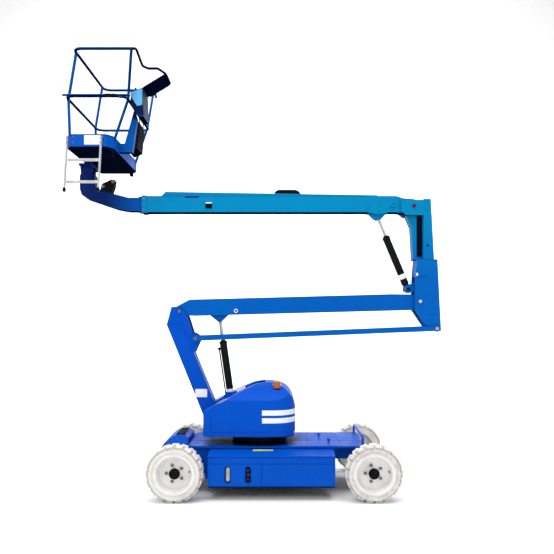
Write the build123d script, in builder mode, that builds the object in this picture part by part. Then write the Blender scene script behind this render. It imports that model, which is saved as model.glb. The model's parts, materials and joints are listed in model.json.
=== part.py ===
"""Articulating boom lift on four wheels: chassis, slewing turret with a leaning post, lower boom, riser,
telescopic upper boom and a work platform. Millimetres, +Z up, standing on Z = 0.

The boom plane is Y = 0. The platform end points to -X and the riser to +X. The origin lies on the ground
below the slew axis, in the middle of the machine's length. Side profiles are drawn as (X, Z) points.
"""

import os
from math import atan2, cos, degrees, hypot, radians, sin, tan

from build123d import *

# ---------------------------------------------------------------- driving dimensions
# Wheels and axles
TYRE_RADIUS = 285
TYRE_WIDTH = 200
RIM_RADIUS = 205
LUG_DEPTH = 14
LUG_COUNT = 18
SHOULDER = 26
WHEEL_Y = 650
DRIVE_AXLE_X = -837
STEER_AXLE_X = 1162
AXLE_Z = 285
HUB_RADIUS = 62
CAP_RADIUS = 50
BOLT_CIRCLE = 85
WHEEL_BOLTS = 5
SPINDLE_RADIUS = 30
KINGPIN_Y = 480
KINGPIN_RADIUS = 20
STEER_ARM = 120
RUNNING = 0.05
SLIDING = 0.4

# Chassis
FRAME_HALF = 380
FRAME_LOW = 155
DECK_HALF = 412
DECK_LOW = 484
DECK_TOP = 506
FRAME_X = (-700, 800)
NOSE_HALF = 290
DECK_X = (-745, 1130)
TRAY_X = (-509, 779)
TRAY_OUTER = 650
TRAY_LOW = 120
TRAY_TOP = (452, 480)
TRAY_CORNER = 50
SLOT_Z = 262
FRAME_FRONT = 1120
FRAME_REAR = -1000
EYE_Y = 180
EYE_OUT = 37
EYE_PLATE = 16
EYE_BORE = 15
LOOP_X = 1090
LOOP_HALF = 400
LOOP_TOP = 611
TUBE = 12.5

# Turret
RING_RADIUS = 300
RING_TOP = 570
SPIGOT_RADIUS = 150
BASE_TOP = 609
HOOD_HALF = 450
HOOD_X = (-575, 387)
HOOD_CORNER = 240
CHANNEL_HALF = 130
BEACON = (190, -265, 1072)
POST_HALF = 85
CHEEK = 15
CHEEK_HALF = POST_HALF + CHEEK

# Pivots of the booms, each an (X, Z) point in the boom plane
FOOT = (-879, 1921)
POST_LINK = (-699, 1625)
KNEE = (1756, 2028)
RISER_LINK = (1936, 1732)
LIFT_BASE = (-296.4, 800)
LIFT_EYE = (-446, 1846)
CROWN = (1689, 3075)
LUFF_BASE = (1640, 2165)
LUFF_EYE = (1303, 2971)
LEVEL = (-1905, 3420)
PIN = 20

# Booms and cylinders
BOOM_HALF = 72
BOOM_DEPTH = 180
BOOM_RISE = 36
BOOM_WALL = 8
LINK_DEPTH = 55
LINK_Y = 122
LINK_THICK = 14
RISER_HALF = 110
UPPER_X = (-1294, 1556)
UPPER_Z = (3010, 3190)
FLY_HALF = 56
FLY_Z = (3026, 3174)
FLY_TAIL = 1080
LIFT_BARREL = 797
LUFF_BARREL = 630
BARREL = 40
ROD = 18.5
EYE_HALF = 22
EAR = 12
EAR_GAP = EYE_HALF + 1
BASE_GAP = BARREL + 4
BARREL_FOOT = 88

# Work platform
FLOOR_X = (-1970, -1485)
PLATFORM_HALF = 600
FLOOR_LOW = 3588
FLOOR_TOP = 3606
TOE_TOP = 3710
TOE_WALL = 5
FLOOR_CHAMFER = 90
MID_RAIL = TOE_TOP + 396
TOP_RAIL = MID_RAIL + 484
RAIL = 15
BAR_PIVOT = (-1860, MID_RAIL)
BAR_Y = -PLATFORM_HALF - 16
POST_INSET = 115
CONSOLE_Y = -PLATFORM_HALF + 290
CONSOLE_HALF = 140
SWIVEL_X = -1905
SWIVEL_RADIUS = 45

# ---------------------------------------------------------------- helpers for profiles
def side(points, y=0):
    """A flat face from (X, Z) points, standing at the given Y."""
    with BuildSketch(Plane.XZ.offset(-y), mode=Mode.PRIVATE) as face:
        with BuildLine():
            Polyline(*points, close=True)
        make_face()
    return face.sketch


def plan(points, z):
    """A flat face from (X, Y) points, lying at the given height."""
    with BuildSketch(Plane.XY.offset(z), mode=Mode.PRIVATE) as face:
        with BuildLine():
            Polyline(*points, close=True)
        make_face()
    return face.sketch


def end_on(points, x):
    """A flat face from (Y, Z) points, standing at the given X."""
    with BuildSketch(Plane.YZ.offset(x), mode=Mode.PRIVATE) as face:
        with BuildLine():
            Polyline(*points, close=True)
        make_face()
    return face.sketch


def across(point, y=0):
    """A location on the boom plane whose own Z axis runs across the machine, along Y."""
    return Location((point[0], y, point[1]), (90, 0, 0))


def between(start, end, distance):
    """The point at a distance from start towards end."""
    length = hypot(end[0] - start[0], end[1] - start[1])
    share = distance / length
    return (start[0] + (end[0] - start[0]) * share, start[1] + (end[1] - start[1]) * share)


def strut(start, end, half):
    """The corners of a bar of the given half depth drawn between two points."""
    length = hypot(end[0] - start[0], end[1] - start[1])
    nx = -(end[1] - start[1]) / length * half
    nz = (end[0] - start[0]) / length * half
    return [
        (start[0] + nx, start[1] + nz),
        (end[0] + nx, end[1] + nz),
        (end[0] - nx, end[1] - nz),
        (start[0] - nx, start[1] - nz),
    ]


def eased(points, bend, steps=3):
    """The centre line of a bent tube: each corner of the points is rounded off by short chords."""
    line = [Vector(*points[0])]
    for before, corner, after in zip(points, points[1:], points[2:]):
        corner = Vector(*corner)
        inward = (Vector(*before) - corner).normalized()
        onward = (Vector(*after) - corner).normalized()
        half = radians(inward.get_angle(onward)) / 2
        reach = bend / tan(half)
        middle = corner + (inward + onward).normalized() * (bend / sin(half))
        start = corner + inward * reach - middle
        turn = inward.cross(onward)
        for k in range(steps + 1):
            line.append(middle + start.rotate(Axis((0, 0, 0), -turn), (180 - degrees(2 * half)) * k / steps))
    line.append(Vector(*points[-1]))
    return line


def bent_tube(points, radius, bend):
    """Add a tube with twelve flats and eased corners, drawn through points in space, to the part being built."""
    line = eased(points, bend)
    with BuildLine(mode=Mode.PRIVATE) as centre:
        Polyline(*line)
    with BuildSketch(Plane(origin=line[0], z_dir=line[1] - line[0]), mode=Mode.PRIVATE) as section:
        RegularPolygon(radius=radius, side_count=12)
    sweep(sections=section.sketch, path=centre.line, transition=Transition.RIGHT)


def finish(builder, name):
    """Label a finished piece and write it."""
    builder.part.label = name
    export_step(builder.part, f"parts/{name}.step")


os.makedirs("parts", exist_ok=True)
SIDES = {"near": -1, "far": 1}

# ---------------------------------------------------------------- wheels
wheel_rows = (
    # name, x, side of the machine
    ("drive_near", DRIVE_AXLE_X, -1),
    ("drive_far", DRIVE_AXLE_X, 1),
    ("steer_near", STEER_AXLE_X, -1),
    ("steer_far", STEER_AXLE_X, 1),
)
half_width = TYRE_WIDTH / 2
pitch = 360 / LUG_COUNT
bead = RIM_RADIUS - 18
# Far enough out for the corners of the lowest lugs to stand on the ground
lug_radius = TYRE_RADIUS / cos(radians(0.18 * pitch))


def tread(shrink, turn):
    """The outline of one row of lugs, as points about the hub, drawn in by shrink and turned by turn degrees."""
    corners = []
    for k in range(LUG_COUNT):
        for share, radius in ((-0.32, lug_radius), (0.32, lug_radius), (0.40, lug_radius - LUG_DEPTH),
                              (0.60, lug_radius - LUG_DEPTH)):
            angle = radians(turn + (k + share) * pitch)
            corners.append(((radius - shrink) * cos(angle), (radius - shrink) * sin(angle)))
    return corners


rim_profile = (
    # radius, distance outwards from the wheel's middle
    (SPINDLE_RADIUS + RUNNING, -62),
    (HUB_RADIUS + 14, -62),
    (HUB_RADIUS + 14, -8),
    (RIM_RADIUS - 34, -8),
    (bead - 7, -88),
    (bead, -88),
    (bead, 88),
    (RIM_RADIUS, 92),
    (RIM_RADIUS - 4, 98),
    (RIM_RADIUS - 26, 92),
    (RIM_RADIUS - 42, 14),
    (HUB_RADIUS, 10),
    (CAP_RADIUS, 58),
    (0, 58),
    (0, 52),
    (SPINDLE_RADIUS + RUNNING, 52),
)
for name, x, way in wheel_rows:
    middle = way * WHEEL_Y
    hub_line = Axis((x, 0, AXLE_Z), (0, 1, 0))
    with BuildPart() as tyre:
        for shoulder in (-1, 1):
            # The two rows of lugs stand half a pitch apart
            turn = 90 + (0 if shoulder > 0 else pitch / 2)
            wheel_plane = Plane(origin=(x, middle, AXLE_Z), x_dir=(1, 0, 0), z_dir=(0, shoulder, 0))
            with BuildSketch(wheel_plane):
                Polygon(*tread(0, turn), align=None)
            extrude(amount=half_width - SHOULDER)
            for offset_out, shrink in ((half_width - SHOULDER, 0), (half_width, 20)):
                with BuildSketch(wheel_plane.offset(offset_out)):
                    Polygon(*tread(shrink, turn), align=None)
            loft(ruled=True)
        with Locations(Location((x, middle, AXLE_Z), (90, 0, 0))):
            Cylinder(bead, TYRE_WIDTH, mode=Mode.SUBTRACT)
        # The bead's seat behind the rim's lip
        with BuildSketch(Plane.YZ.offset(x)):
            with BuildLine():
                Polyline((middle + way * 88, AXLE_Z + bead), (middle + way * 100, AXLE_Z + bead + 54),
                         (middle + way * 101, AXLE_Z + bead + 54), (middle + way * 101, AXLE_Z + bead), close=True)
            make_face()
        revolve(axis=hub_line, mode=Mode.SUBTRACT)
    finish(tyre, f"tyre_{name}")

    with BuildPart() as rim:
        with BuildSketch(Plane.YZ.offset(x)):
            with BuildLine():
                Polyline(*[(middle + way * out, AXLE_Z + radius) for radius, out in rim_profile], close=True)
            make_face()
        revolve(axis=hub_line)
        with BuildSketch(Plane(origin=(x, middle + way * 6, AXLE_Z), x_dir=(-1, 0, 0), z_dir=(0, way, 0))):
            with PolarLocations(BOLT_CIRCLE, WHEEL_BOLTS):
                RegularPolygon(radius=12, side_count=6)
        extrude(amount=18)
    finish(rim, f"rim_{name}")

# ---------------------------------------------------------------- chassis
with BuildPart() as chassis_frame:
    extrude(plan([(FRAME_X[0], -FRAME_HALF), (FRAME_X[1], -FRAME_HALF), (FRAME_X[1], FRAME_HALF),
                  (FRAME_X[0], FRAME_HALF)], FRAME_LOW + 205), amount=DECK_LOW - FRAME_LOW - 205)
    # The belly drops between the axles and has sloping ends
    belly = [(-620, 360), (-560, FRAME_LOW), (640, FRAME_LOW), (780, 250), (780, 360)]
    extrude(side(belly), amount=FRAME_HALF, both=True)
    # Axle saddles, narrow enough for the wheels to turn beside them
    for x_low, x_high in ((FRAME_REAR, FRAME_X[0]), (FRAME_X[1], FRAME_FRONT)):
        extrude(plan([(x_low, -NOSE_HALF), (x_high, -NOSE_HALF), (x_high, NOSE_HALF), (x_low, NOSE_HALF)], 350),
                amount=DECK_LOW - 350)
    chamfer(chassis_frame.faces().sort_by(Axis.X)[-1].edges().filter_by(Axis.Z), length=40)
    # Lashing eyes at both ends: level plates with an upright hole
    for x_end, z, out in ((FRAME_FRONT, 400, 1), (FRAME_REAR, 360, -1)):
        for y in (-EYE_Y, EYE_Y):
            with Locations((x_end + out * 30, y, z)):
                Box(72, 64, EYE_PLATE, align=(Align.CENTER, Align.CENTER, Align.MIN))
            with Locations((x_end + out * EYE_OUT, y, z)):
                Cylinder(EYE_BORE, 60, mode=Mode.SUBTRACT)
finish(chassis_frame, "chassis_frame")

with BuildPart() as deck:
    extrude(plan([(DECK_X[0], -DECK_HALF + 60), (DECK_X[0] + 60, -DECK_HALF), (DECK_X[1] - 30, -DECK_HALF),
                  (DECK_X[1], -DECK_HALF + 30), (DECK_X[1], DECK_HALF - 30), (DECK_X[1] - 30, DECK_HALF),
                  (DECK_X[0] + 60, DECK_HALF), (DECK_X[0], DECK_HALF - 60)], DECK_LOW),
            amount=DECK_TOP - DECK_LOW)
    chamfer(deck.faces().sort_by(Axis.X)[-1].edges().group_by(Axis.Z)[-1], length=14)
    # Seams of the removable panels
    for x in (515, 860):
        with Locations((x, 0, DECK_TOP)):
            Box(5, DECK_HALF * 2, 8, mode=Mode.SUBTRACT)
    # Latch knobs
    for x, y in ((660, 120), (745, -210)):
        with Locations((x, y, DECK_TOP)):
            Cylinder(9, 26, align=(Align.CENTER, Align.CENTER, Align.MIN))
        with Locations((x, y, DECK_TOP + 26)):
            Cylinder(19, 18, align=(Align.CENTER, Align.CENTER, Align.MIN))
finish(deck, "deck")

tray_profile = (
    # distance from the middle, height
    (FRAME_HALF, TRAY_LOW + 40),
    (FRAME_HALF + 40, TRAY_LOW),
    (TRAY_OUTER, TRAY_LOW),
    (TRAY_OUTER, TRAY_TOP[0]),
    (FRAME_HALF, TRAY_TOP[1]),
)
for name, way in SIDES.items():
    with BuildPart() as side_box:
        extrude(end_on([(way * out, height) for out, height in tray_profile], TRAY_X[0]), amount=TRAY_X[1] - TRAY_X[0])
        low_outer = side_box.edges().filter_by(Axis.X).sort_by_distance((135, way * TRAY_OUTER, TRAY_LOW))[0]
        fillet(low_outer, radius=TRAY_CORNER)
        # Hand slots with the valves behind them
        outer_wall = Plane(origin=(0, way * TRAY_OUTER, 0), x_dir=(1, 0, 0), z_dir=(0, -way, 0))
        with BuildSketch(outer_wall):
            for x in (-309, -102):
                with Locations((x, way * SLOT_Z)):
                    SlotOverall(172, 60, rotation=90)
        extrude(amount=70, mode=Mode.SUBTRACT)
        # The seams of the lid and of the front panel
        for x, z, wide, high in ((135, TRAY_TOP[0] - 16, 1300, 4), (135, 373, 1300, 3)):
            with Locations((x, way * TRAY_OUTER, z)):
                Box(wide, 6, high, mode=Mode.SUBTRACT)
        with Locations((37, way * TRAY_OUTER, 300)):
            Box(4, 6, 400, mode=Mode.SUBTRACT)
    finish(side_box, f"side_box_{name}")

with BuildPart() as drive_axle:
    with Locations((DRIVE_AXLE_X, 0, 290)):
        Box(120, 1080, 120)
    with Locations(Location((DRIVE_AXLE_X, 0, AXLE_Z), (90, 0, 0))):
        Cylinder(88, 1160)
        Cylinder(SPINDLE_RADIUS, 2 * (WHEEL_Y + 50))
    # The gear housing in the middle
    with Locations(Location((DRIVE_AXLE_X, 0, 270), (90, 0, 0))):
        Cylinder(118, 220)
    with Locations((DRIVE_AXLE_X, 0, 400)):
        Box(400, 2 * NOSE_HALF + 20, 100, mode=Mode.SUBTRACT)
finish(drive_axle, "drive_axle")

# The low rounded cover over the drive end
with BuildPart() as drive_cover:
    with BuildSketch(Plane.XZ):
        with BuildLine():
            Polyline((-762, DECK_LOW + 0.5), (-762, 560), (-800, 582))
            ThreePointArc((-800, 582), (-968, 552), (-1040, 470))
            Polyline((-1040, 470), (-1040, 430), (-1004, 430), (-1004, DECK_LOW + 0.5), (-762, DECK_LOW + 0.5))
        make_face()
    extrude(amount=285, both=True)
    for way in (-1, 1):
        # The ends slope in towards the top
        slope = [(way * 286, 500), (way * 286, 600), (way * 205, 600)]
        extrude(end_on(slope, -1050), amount=300, mode=Mode.SUBTRACT)
finish(drive_cover, "drive_cover")

with BuildPart() as steer_axle:
    with Locations((STEER_AXLE_X, 0, 290)):
        Box(110, 860, 120)
    with Locations((STEER_AXLE_X - 100, 0, 340)):
        Box(200, 180, 20)
    for way in (-1, 1):
        for low in (205, 340):
            with Locations((STEER_AXLE_X, way * 468, low)):
                Box(90, 106, 25, align=(Align.CENTER, Align.CENTER, Align.MIN))
        with Locations((STEER_AXLE_X, way * 422, 285)):
            Box(90, 16, 160)
        with Locations((STEER_AXLE_X, way * KINGPIN_Y, 285)):
            Cylinder(KINGPIN_RADIUS + RUNNING, 200, mode=Mode.SUBTRACT)
finish(steer_axle, "steer_axle")

for name, way in SIDES.items():
    with BuildPart() as steer_knuckle:
        with Locations((STEER_AXLE_X, way * KINGPIN_Y, 285)):
            Cylinder(KINGPIN_RADIUS, 172)
            Cylinder(38, 108)
        outward = Plane(origin=(STEER_AXLE_X, way * KINGPIN_Y, AXLE_Z), x_dir=(1, 0, 0), z_dir=(0, way, 0))
        with BuildSketch(outward):
            Circle(SPINDLE_RADIUS)
        extrude(amount=WHEEL_Y + 50 - KINGPIN_Y)
        with BuildSketch(outward.offset(62)):
            Circle(80)
        extrude(amount=44)
        # The steering arm
        with Locations((STEER_AXLE_X - STEER_ARM / 2, way * KINGPIN_Y, 278)):
            Box(STEER_ARM, 30, 24)
        with Locations((STEER_AXLE_X - STEER_ARM, way * KINGPIN_Y, 278)):
            Cylinder(24, 24)
    finish(steer_knuckle, f"steer_knuckle_{name}")

with BuildPart() as tie_rod:
    with Locations(Location((STEER_AXLE_X - STEER_ARM, 0, 303), (90, 0, 0))):
        Cylinder(11, 2 * KINGPIN_Y)
    for way in (-1, 1):
        with Locations((STEER_AXLE_X - STEER_ARM, way * KINGPIN_Y, 290 + SLIDING)):
            Cylinder(24, 24, align=(Align.CENTER, Align.CENTER, Align.MIN))
            Cylinder(11, 34, align=(Align.CENTER, Align.CENTER, Align.MIN))
finish(tie_rod, "tie_rod")

# The guard loop across the steering end of the deck
with BuildPart() as guard_loop:
    loop_y = LOOP_HALF - TUBE
    bent_tube([(LOOP_X, -loop_y, DECK_TOP), (LOOP_X, -loop_y, LOOP_TOP - TUBE), (LOOP_X, loop_y, LOOP_TOP - TUBE),
               (LOOP_X, loop_y, DECK_TOP)], TUBE, 45)
finish(guard_loop, "guard_loop")

with BuildPart() as slew_ring:
    with Locations((0, 0, DECK_TOP)):
        Cylinder(RING_RADIUS, RING_TOP - DECK_TOP, align=(Align.CENTER, Align.CENTER, Align.MIN))
        Cylinder(SPIGOT_RADIUS, 200, mode=Mode.SUBTRACT)
    with Locations((0, 0, DECK_TOP + 12)):
        with PolarLocations(RING_RADIUS, 24):
            Box(16, 16, 24, mode=Mode.SUBTRACT)
finish(slew_ring, "slew_ring")

# ---------------------------------------------------------------- turret
post_body = [(-619, BASE_TOP - 5), (-619, 785), (-1019, 1775), (-851, 1775), (-364, BASE_TOP - 5)]
post_cheek = [(-893, 1463), (-1019, 1775), (-966, 1970), (-900, 1970), (-842, 1945), (-789, 1859), (-735, 1690),
              (-690, 1668), (-658, 1642), (-658, 1602), (-721, 1463)]
lift_ear = [(-430, BASE_TOP - 5), (-408, 880), (-404, 975), (-372, 1030), (-262, 1030), (-222, 975), (-210, 800),
            (-150, BASE_TOP - 5)]
with BuildPart() as turret_frame:
    extrude(plan([(-619, -110), (-560, -300), (330, -300), (372, -240), (372, 240), (330, 300), (-560, 300),
                  (-619, 110)], 580), amount=BASE_TOP - 580)
    with Locations((0, 0, RING_TOP + SLIDING)):
        Cylinder(RING_RADIUS - 4, 20, align=(Align.CENTER, Align.CENTER, Align.MIN))
    with Locations((0, 0, 520)):
        Cylinder(SPIGOT_RADIUS - RUNNING, 70, align=(Align.CENTER, Align.CENTER, Align.MIN))
    extrude(side(post_body), amount=CHEEK_HALF, both=True)
    for way in (-1, 1):
        extrude(side(post_cheek, way * (POST_HALF + CHEEK / 2)), amount=CHEEK / 2, both=True)
        extrude(side(lift_ear, way * (BASE_GAP + EAR / 2)), amount=EAR / 2, both=True)
    # Ties behind the cylinder's ears
    extrude(side([(-560, 604), (-560, 700), (-402, 700), (-420, 604)]), amount=BASE_GAP + EAR, both=True)
    with Locations(across(FOOT), across(POST_LINK), across(LIFT_BASE)):
        Cylinder(PIN + RUNNING, 400, mode=Mode.SUBTRACT)
finish(turret_frame, "turret_frame")

with BuildPart() as hood:
    # The flank's outline: a straight slope up to a round crown
    with BuildSketch(Plane.XZ):
        with BuildLine():
            Polyline((HOOD_X[1], 880), (HOOD_X[1], 650), (360, BASE_TOP), (HOOD_X[0], BASE_TOP), (HOOD_X[0], 870),
                     (-120, 1100))
            TangentArc((-120, 1100), (180, 1140), tangent=(455, 230))
            TangentArc((180, 1140), (HOOD_X[1], 880), tangent=(1, -0.25))
        make_face()
    extrude(amount=HOOD_HALF + 10, both=True)
    # Its crown is lower over the flanks than in the middle; the arch springs from just outside them
    with BuildSketch(Plane.YZ.offset(HOOD_X[0] - 1)):
        with BuildLine():
            spring = HOOD_HALF + 10
            Polyline((-spring, 977), (-spring, BASE_TOP - 1), (spring, BASE_TOP - 1), (spring, 977))
            ThreePointArc((spring, 977), (0, 1165), (-spring, 977))
        make_face()
    extrude(amount=HOOD_X[1] - HOOD_X[0] + 2, mode=Mode.INTERSECT)
    # Seen from above, its rear corners are well rounded
    with BuildSketch(Plane.XY.offset(BASE_TOP - 1)):
        with BuildLine():
            corner = (HOOD_X[1] - HOOD_CORNER, HOOD_HALF - HOOD_CORNER)
            Polyline((corner[0], HOOD_HALF), (HOOD_X[0] - 1, HOOD_HALF), (HOOD_X[0] - 1, -HOOD_HALF),
                     (corner[0], -HOOD_HALF))
            CenterArc((corner[0], -corner[1]), HOOD_CORNER, 270, 90)
            Line((HOOD_X[1], -corner[1]), (HOOD_X[1], corner[1]))
            CenterArc(corner, HOOD_CORNER, 0, 90)
        make_face()
    extrude(amount=600, mode=Mode.INTERSECT)
    # The channel that the post and the lift cylinder stand in, open at the front
    with Locations((HOOD_X[0] - 1, 0, BASE_TOP - 1)):
        Box(60 - HOOD_X[0] + 1, 2 * CHANNEL_HALF, 600, align=(Align.MIN, Align.CENTER, Align.MIN), mode=Mode.SUBTRACT)
    # The beacon's seat
    with Locations((BEACON[0], BEACON[1], BEACON[2])):
        Cylinder(52, 200, align=(Align.CENTER, Align.CENTER, Align.MIN), mode=Mode.SUBTRACT)
finish(hood, "hood")

with BuildPart() as beacon_base:
    with Locations(BEACON):
        Cylinder(40, 26, align=(Align.CENTER, Align.CENTER, Align.MIN))
finish(beacon_base, "beacon_base")

with BuildPart() as beacon_lens:
    with Locations((BEACON[0], BEACON[1], BEACON[2] + 26)):
        Cylinder(46, 40, align=(Align.CENTER, Align.CENTER, Align.MIN))
        Cylinder(38, 64, align=(Align.CENTER, Align.CENTER, Align.MIN))
finish(beacon_lens, "beacon_lens")

# ---------------------------------------------------------------- lower boom and its levelling link
boom_length = hypot(KNEE[0] - FOOT[0], KNEE[1] - FOOT[1])
boom_angle = atan2(KNEE[1] - FOOT[1], KNEE[0] - FOOT[0])


def along(u, v):
    """A point of the lower boom, u along it from its foot pin and v above its axis, as (X, Z)."""
    return (FOOT[0] + u * cos(boom_angle) - v * sin(boom_angle), FOOT[1] + u * sin(boom_angle) + v * cos(boom_angle))


half_depth = BOOM_DEPTH / 2


def lift_off(u):
    """How far the box's middle lies above the line of the pins: most at the foot, none at the knee."""
    return BOOM_RISE * (1 - u / boom_length)


boom_profile = (
    # u, v of the outer box
    (-62, -50),
    (-76, -8),
    (-66, 34),
    (-18, 62),
    (112, half_depth + lift_off(112)),
    (boom_length - 300, half_depth + lift_off(boom_length - 300)),
    (boom_length + 10, 78),
    (boom_length + 62, 48),
    (boom_length + 79, 0),
    (boom_length + 62, -48),
    (boom_length + 10, -78),
    (boom_length - 70, -half_depth),
    (150, -half_depth + lift_off(150)),
    (60, -half_depth + lift_off(60) + 6),
)
inner = half_depth - BOOM_WALL
hollow = [(150, inner + lift_off(150)), (boom_length - 300, inner + lift_off(boom_length - 300)),
          (boom_length - 300, -inner + lift_off(boom_length - 300)), (150, -inner + lift_off(150))]
eye_u = (LIFT_EYE[0] - FOOT[0]) * cos(boom_angle) + (LIFT_EYE[1] - FOOT[1]) * sin(boom_angle)
eye_v = (LIFT_EYE[1] - FOOT[1]) * cos(boom_angle) - (LIFT_EYE[0] - FOOT[0]) * sin(boom_angle)
bracket_top = -half_depth + lift_off(eye_u) + 4
bracket = [(eye_u - 105, bracket_top), (eye_u - 36, eye_v - 24), (eye_u - 14, eye_v - 44),
           (eye_u + 14, eye_v - 44), (eye_u + 36, eye_v - 24), (eye_u + 105, bracket_top)]
with BuildPart() as lower_boom:
    extrude(side([along(u, v) for u, v in boom_profile]), amount=BOOM_HALF, both=True)
    extrude(side([along(u, v) for u, v in hollow]), amount=BOOM_HALF - BOOM_WALL, both=True, mode=Mode.SUBTRACT)
    # Foot bosses that fill the fork of the post
    with Locations(across(FOOT)):
        Cylinder(46, 2 * (POST_HALF - 1))
        Cylinder(PIN, 2 * CHEEK_HALF + 24)
    # Knee bosses
    with Locations(across(KNEE)):
        Cylinder(56, 2 * 84)
        Cylinder(PIN, 2 * RISER_HALF + 24)
    # The ears of the lift cylinder, and the slot that its eye swings in
    slot = [along(u, v) for u, v in ((eye_u - 70, 0), (eye_u - 70, -150), (eye_u + 150, -150), (eye_u + 150, 0))]
    extrude(side(slot), amount=EAR_GAP, both=True, mode=Mode.SUBTRACT)
    for way in (-1, 1):
        extrude(side([along(u, v) for u, v in bracket], way * (EAR_GAP + EAR / 2)), amount=EAR / 2, both=True)
        with Locations(across(LIFT_EYE, way * (EAR_GAP + EAR + 4))):
            Cylinder(PIN, 12)
    # The open top at the knee, which clears the luff cylinder's foot
    gap = [along(u, v) for u, v in ((boom_length - 260, 200), (boom_length - 260, 28), (boom_length - 62, 28),
                                    (boom_length - 62, 200))]
    extrude(side(gap), amount=BASE_GAP + EAR + 6, both=True, mode=Mode.SUBTRACT)
finish(lower_boom, "lower_boom")

with BuildPart() as levelling_link:
    for way in (-1, 1):
        extrude(side(strut(POST_LINK, RISER_LINK, LINK_DEPTH / 2), way * LINK_Y), amount=LINK_THICK / 2, both=True)
        with Locations(across(POST_LINK, way * LINK_Y), across(RISER_LINK, way * LINK_Y)):
            Cylinder(36, LINK_THICK)
        with Locations(across(POST_LINK, way * (CHEEK_HALF + 8))):
            Cylinder(30, 14)
    with Locations(across(POST_LINK), across(RISER_LINK)):
        Cylinder(PIN, 2 * LINK_Y + 24)
finish(levelling_link, "levelling_link")

# ---------------------------------------------------------------- riser
riser_foot = [(1722, 2484), (1708, 2330), (1700, 2172), (1700, 1938), (1856, 1705), (1985, 1705), (1946, 2484)]
riser_back = [(1845, 2484), (1848, 1860), (1880, 1705), (1985, 1705), (1946, 2484)]
riser_channel = [(1790, 2484), (1795, 3151), (1873, 3151), (1908, 2500), (1908, 2484)]
riser_web = [(1690, 2484), (1668, 2845), (1612, 2972), (1800, 2972), (1800, 2484)]
riser_ear = [(1550, 3018), (1550, 3140), (1800, 3140), (1800, 2972), (1604, 2972)]
with BuildPart() as riser:
    for way in (-1, 1):
        extrude(side(riser_foot, way * (RISER_HALF - 12)), amount=12, both=True)
        extrude(side(riser_ear, way * (RISER_HALF - 12)), amount=12, both=True)
        luff_ear = [(1595, 2150), (1600, 2200), (1640, 2215), (1700, 2235), (1860, 2300), (1860, 2150), (1700, 2132),
                    (1640, 2122)]
        extrude(side(luff_ear, way * (BASE_GAP + EAR / 2)), amount=EAR / 2, both=True)
    extrude(side(riser_back), amount=RISER_HALF, both=True)
    extrude(side([(1716, 2300), (1722, 2490), (1900, 2490), (1900, 2300)]), amount=RISER_HALF, both=True)
    extrude(side(riser_channel), amount=RISER_HALF, both=True)
    extrude(side(riser_web), amount=60, both=True)
    # The tall recess between the web and the channel
    with Locations((1775, -110, 2750)):
        Box(30, 120, 380, mode=Mode.SUBTRACT)
    with Locations(across(KNEE), across(RISER_LINK), across(CROWN), across(LUFF_BASE)):
        Cylinder(PIN + RUNNING, 400, mode=Mode.SUBTRACT)
finish(riser, "riser")

# ---------------------------------------------------------------- cylinders
cylinder_rows = (
    # name, base pin, eye pin, barrel length, travel left below the rest pose, side of the hard line or 0 for none
    ("lift", LIFT_BASE, LIFT_EYE, LIFT_BARREL, 155, -1),
    ("luff", LUFF_BASE, LUFF_EYE, LUFF_BARREL, 72, 0),
)
for name, base, eye, barrel_length, spare, side_way in cylinder_rows:
    rod_tail = BARREL_FOOT + spare
    span = hypot(eye[0] - base[0], eye[1] - base[1])
    lean = Vector(eye[0] - base[0], 0, eye[1] - base[1]).normalized()
    bore_line = Plane(origin=(base[0], 0, base[1]), x_dir=(0, 1, 0), z_dir=lean)
    with BuildPart() as barrel:
        with BuildSketch(bore_line.offset(66)):
            Circle(BARREL)
        extrude(amount=barrel_length - 66)
        with BuildSketch(bore_line.offset(barrel_length - 26)):
            Circle(BARREL + 3)
        extrude(amount=26)
        # The base eye and its pin
        with Locations(across(base)):
            Cylinder(38, 2 * BASE_GAP - 2)
            Cylinder(PIN, 2 * (BASE_GAP + EAR) + 12)
        with BuildSketch(bore_line.offset(20)):
            Rectangle(2 * EYE_HALF, 60)
        extrude(amount=60)
        with BuildSketch(bore_line.offset(BARREL_FOOT)):
            Circle(ROD + RUNNING)
        extrude(amount=barrel_length, mode=Mode.SUBTRACT)
        # The oil ports and the hard line between them
        if side_way:
            with BuildSketch(bore_line.offset(110)):
                with Locations((0, -side_way * (BARREL + 13))):
                    Circle(8)
            extrude(amount=barrel_length - 180)
            for height in (105, barrel_length - 90):
                with BuildSketch(bore_line.offset(height)):
                    with Locations((0, -side_way * (BARREL + 9))):
                        Rectangle(26, 28)
                extrude(amount=28)
    finish(barrel, f"{name}_cylinder_barrel")

    with BuildPart() as rod:
        with BuildSketch(bore_line.offset(rod_tail)):
            Circle(ROD)
        extrude(amount=span - rod_tail - 20)
        with BuildSketch(bore_line.offset(span - 62)):
            Circle(20.5)
        extrude(amount=40)
        with Locations(across(eye)):
            Cylinder(33, 2 * EYE_HALF - 2)
    finish(rod, f"{name}_cylinder_rod")

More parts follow.
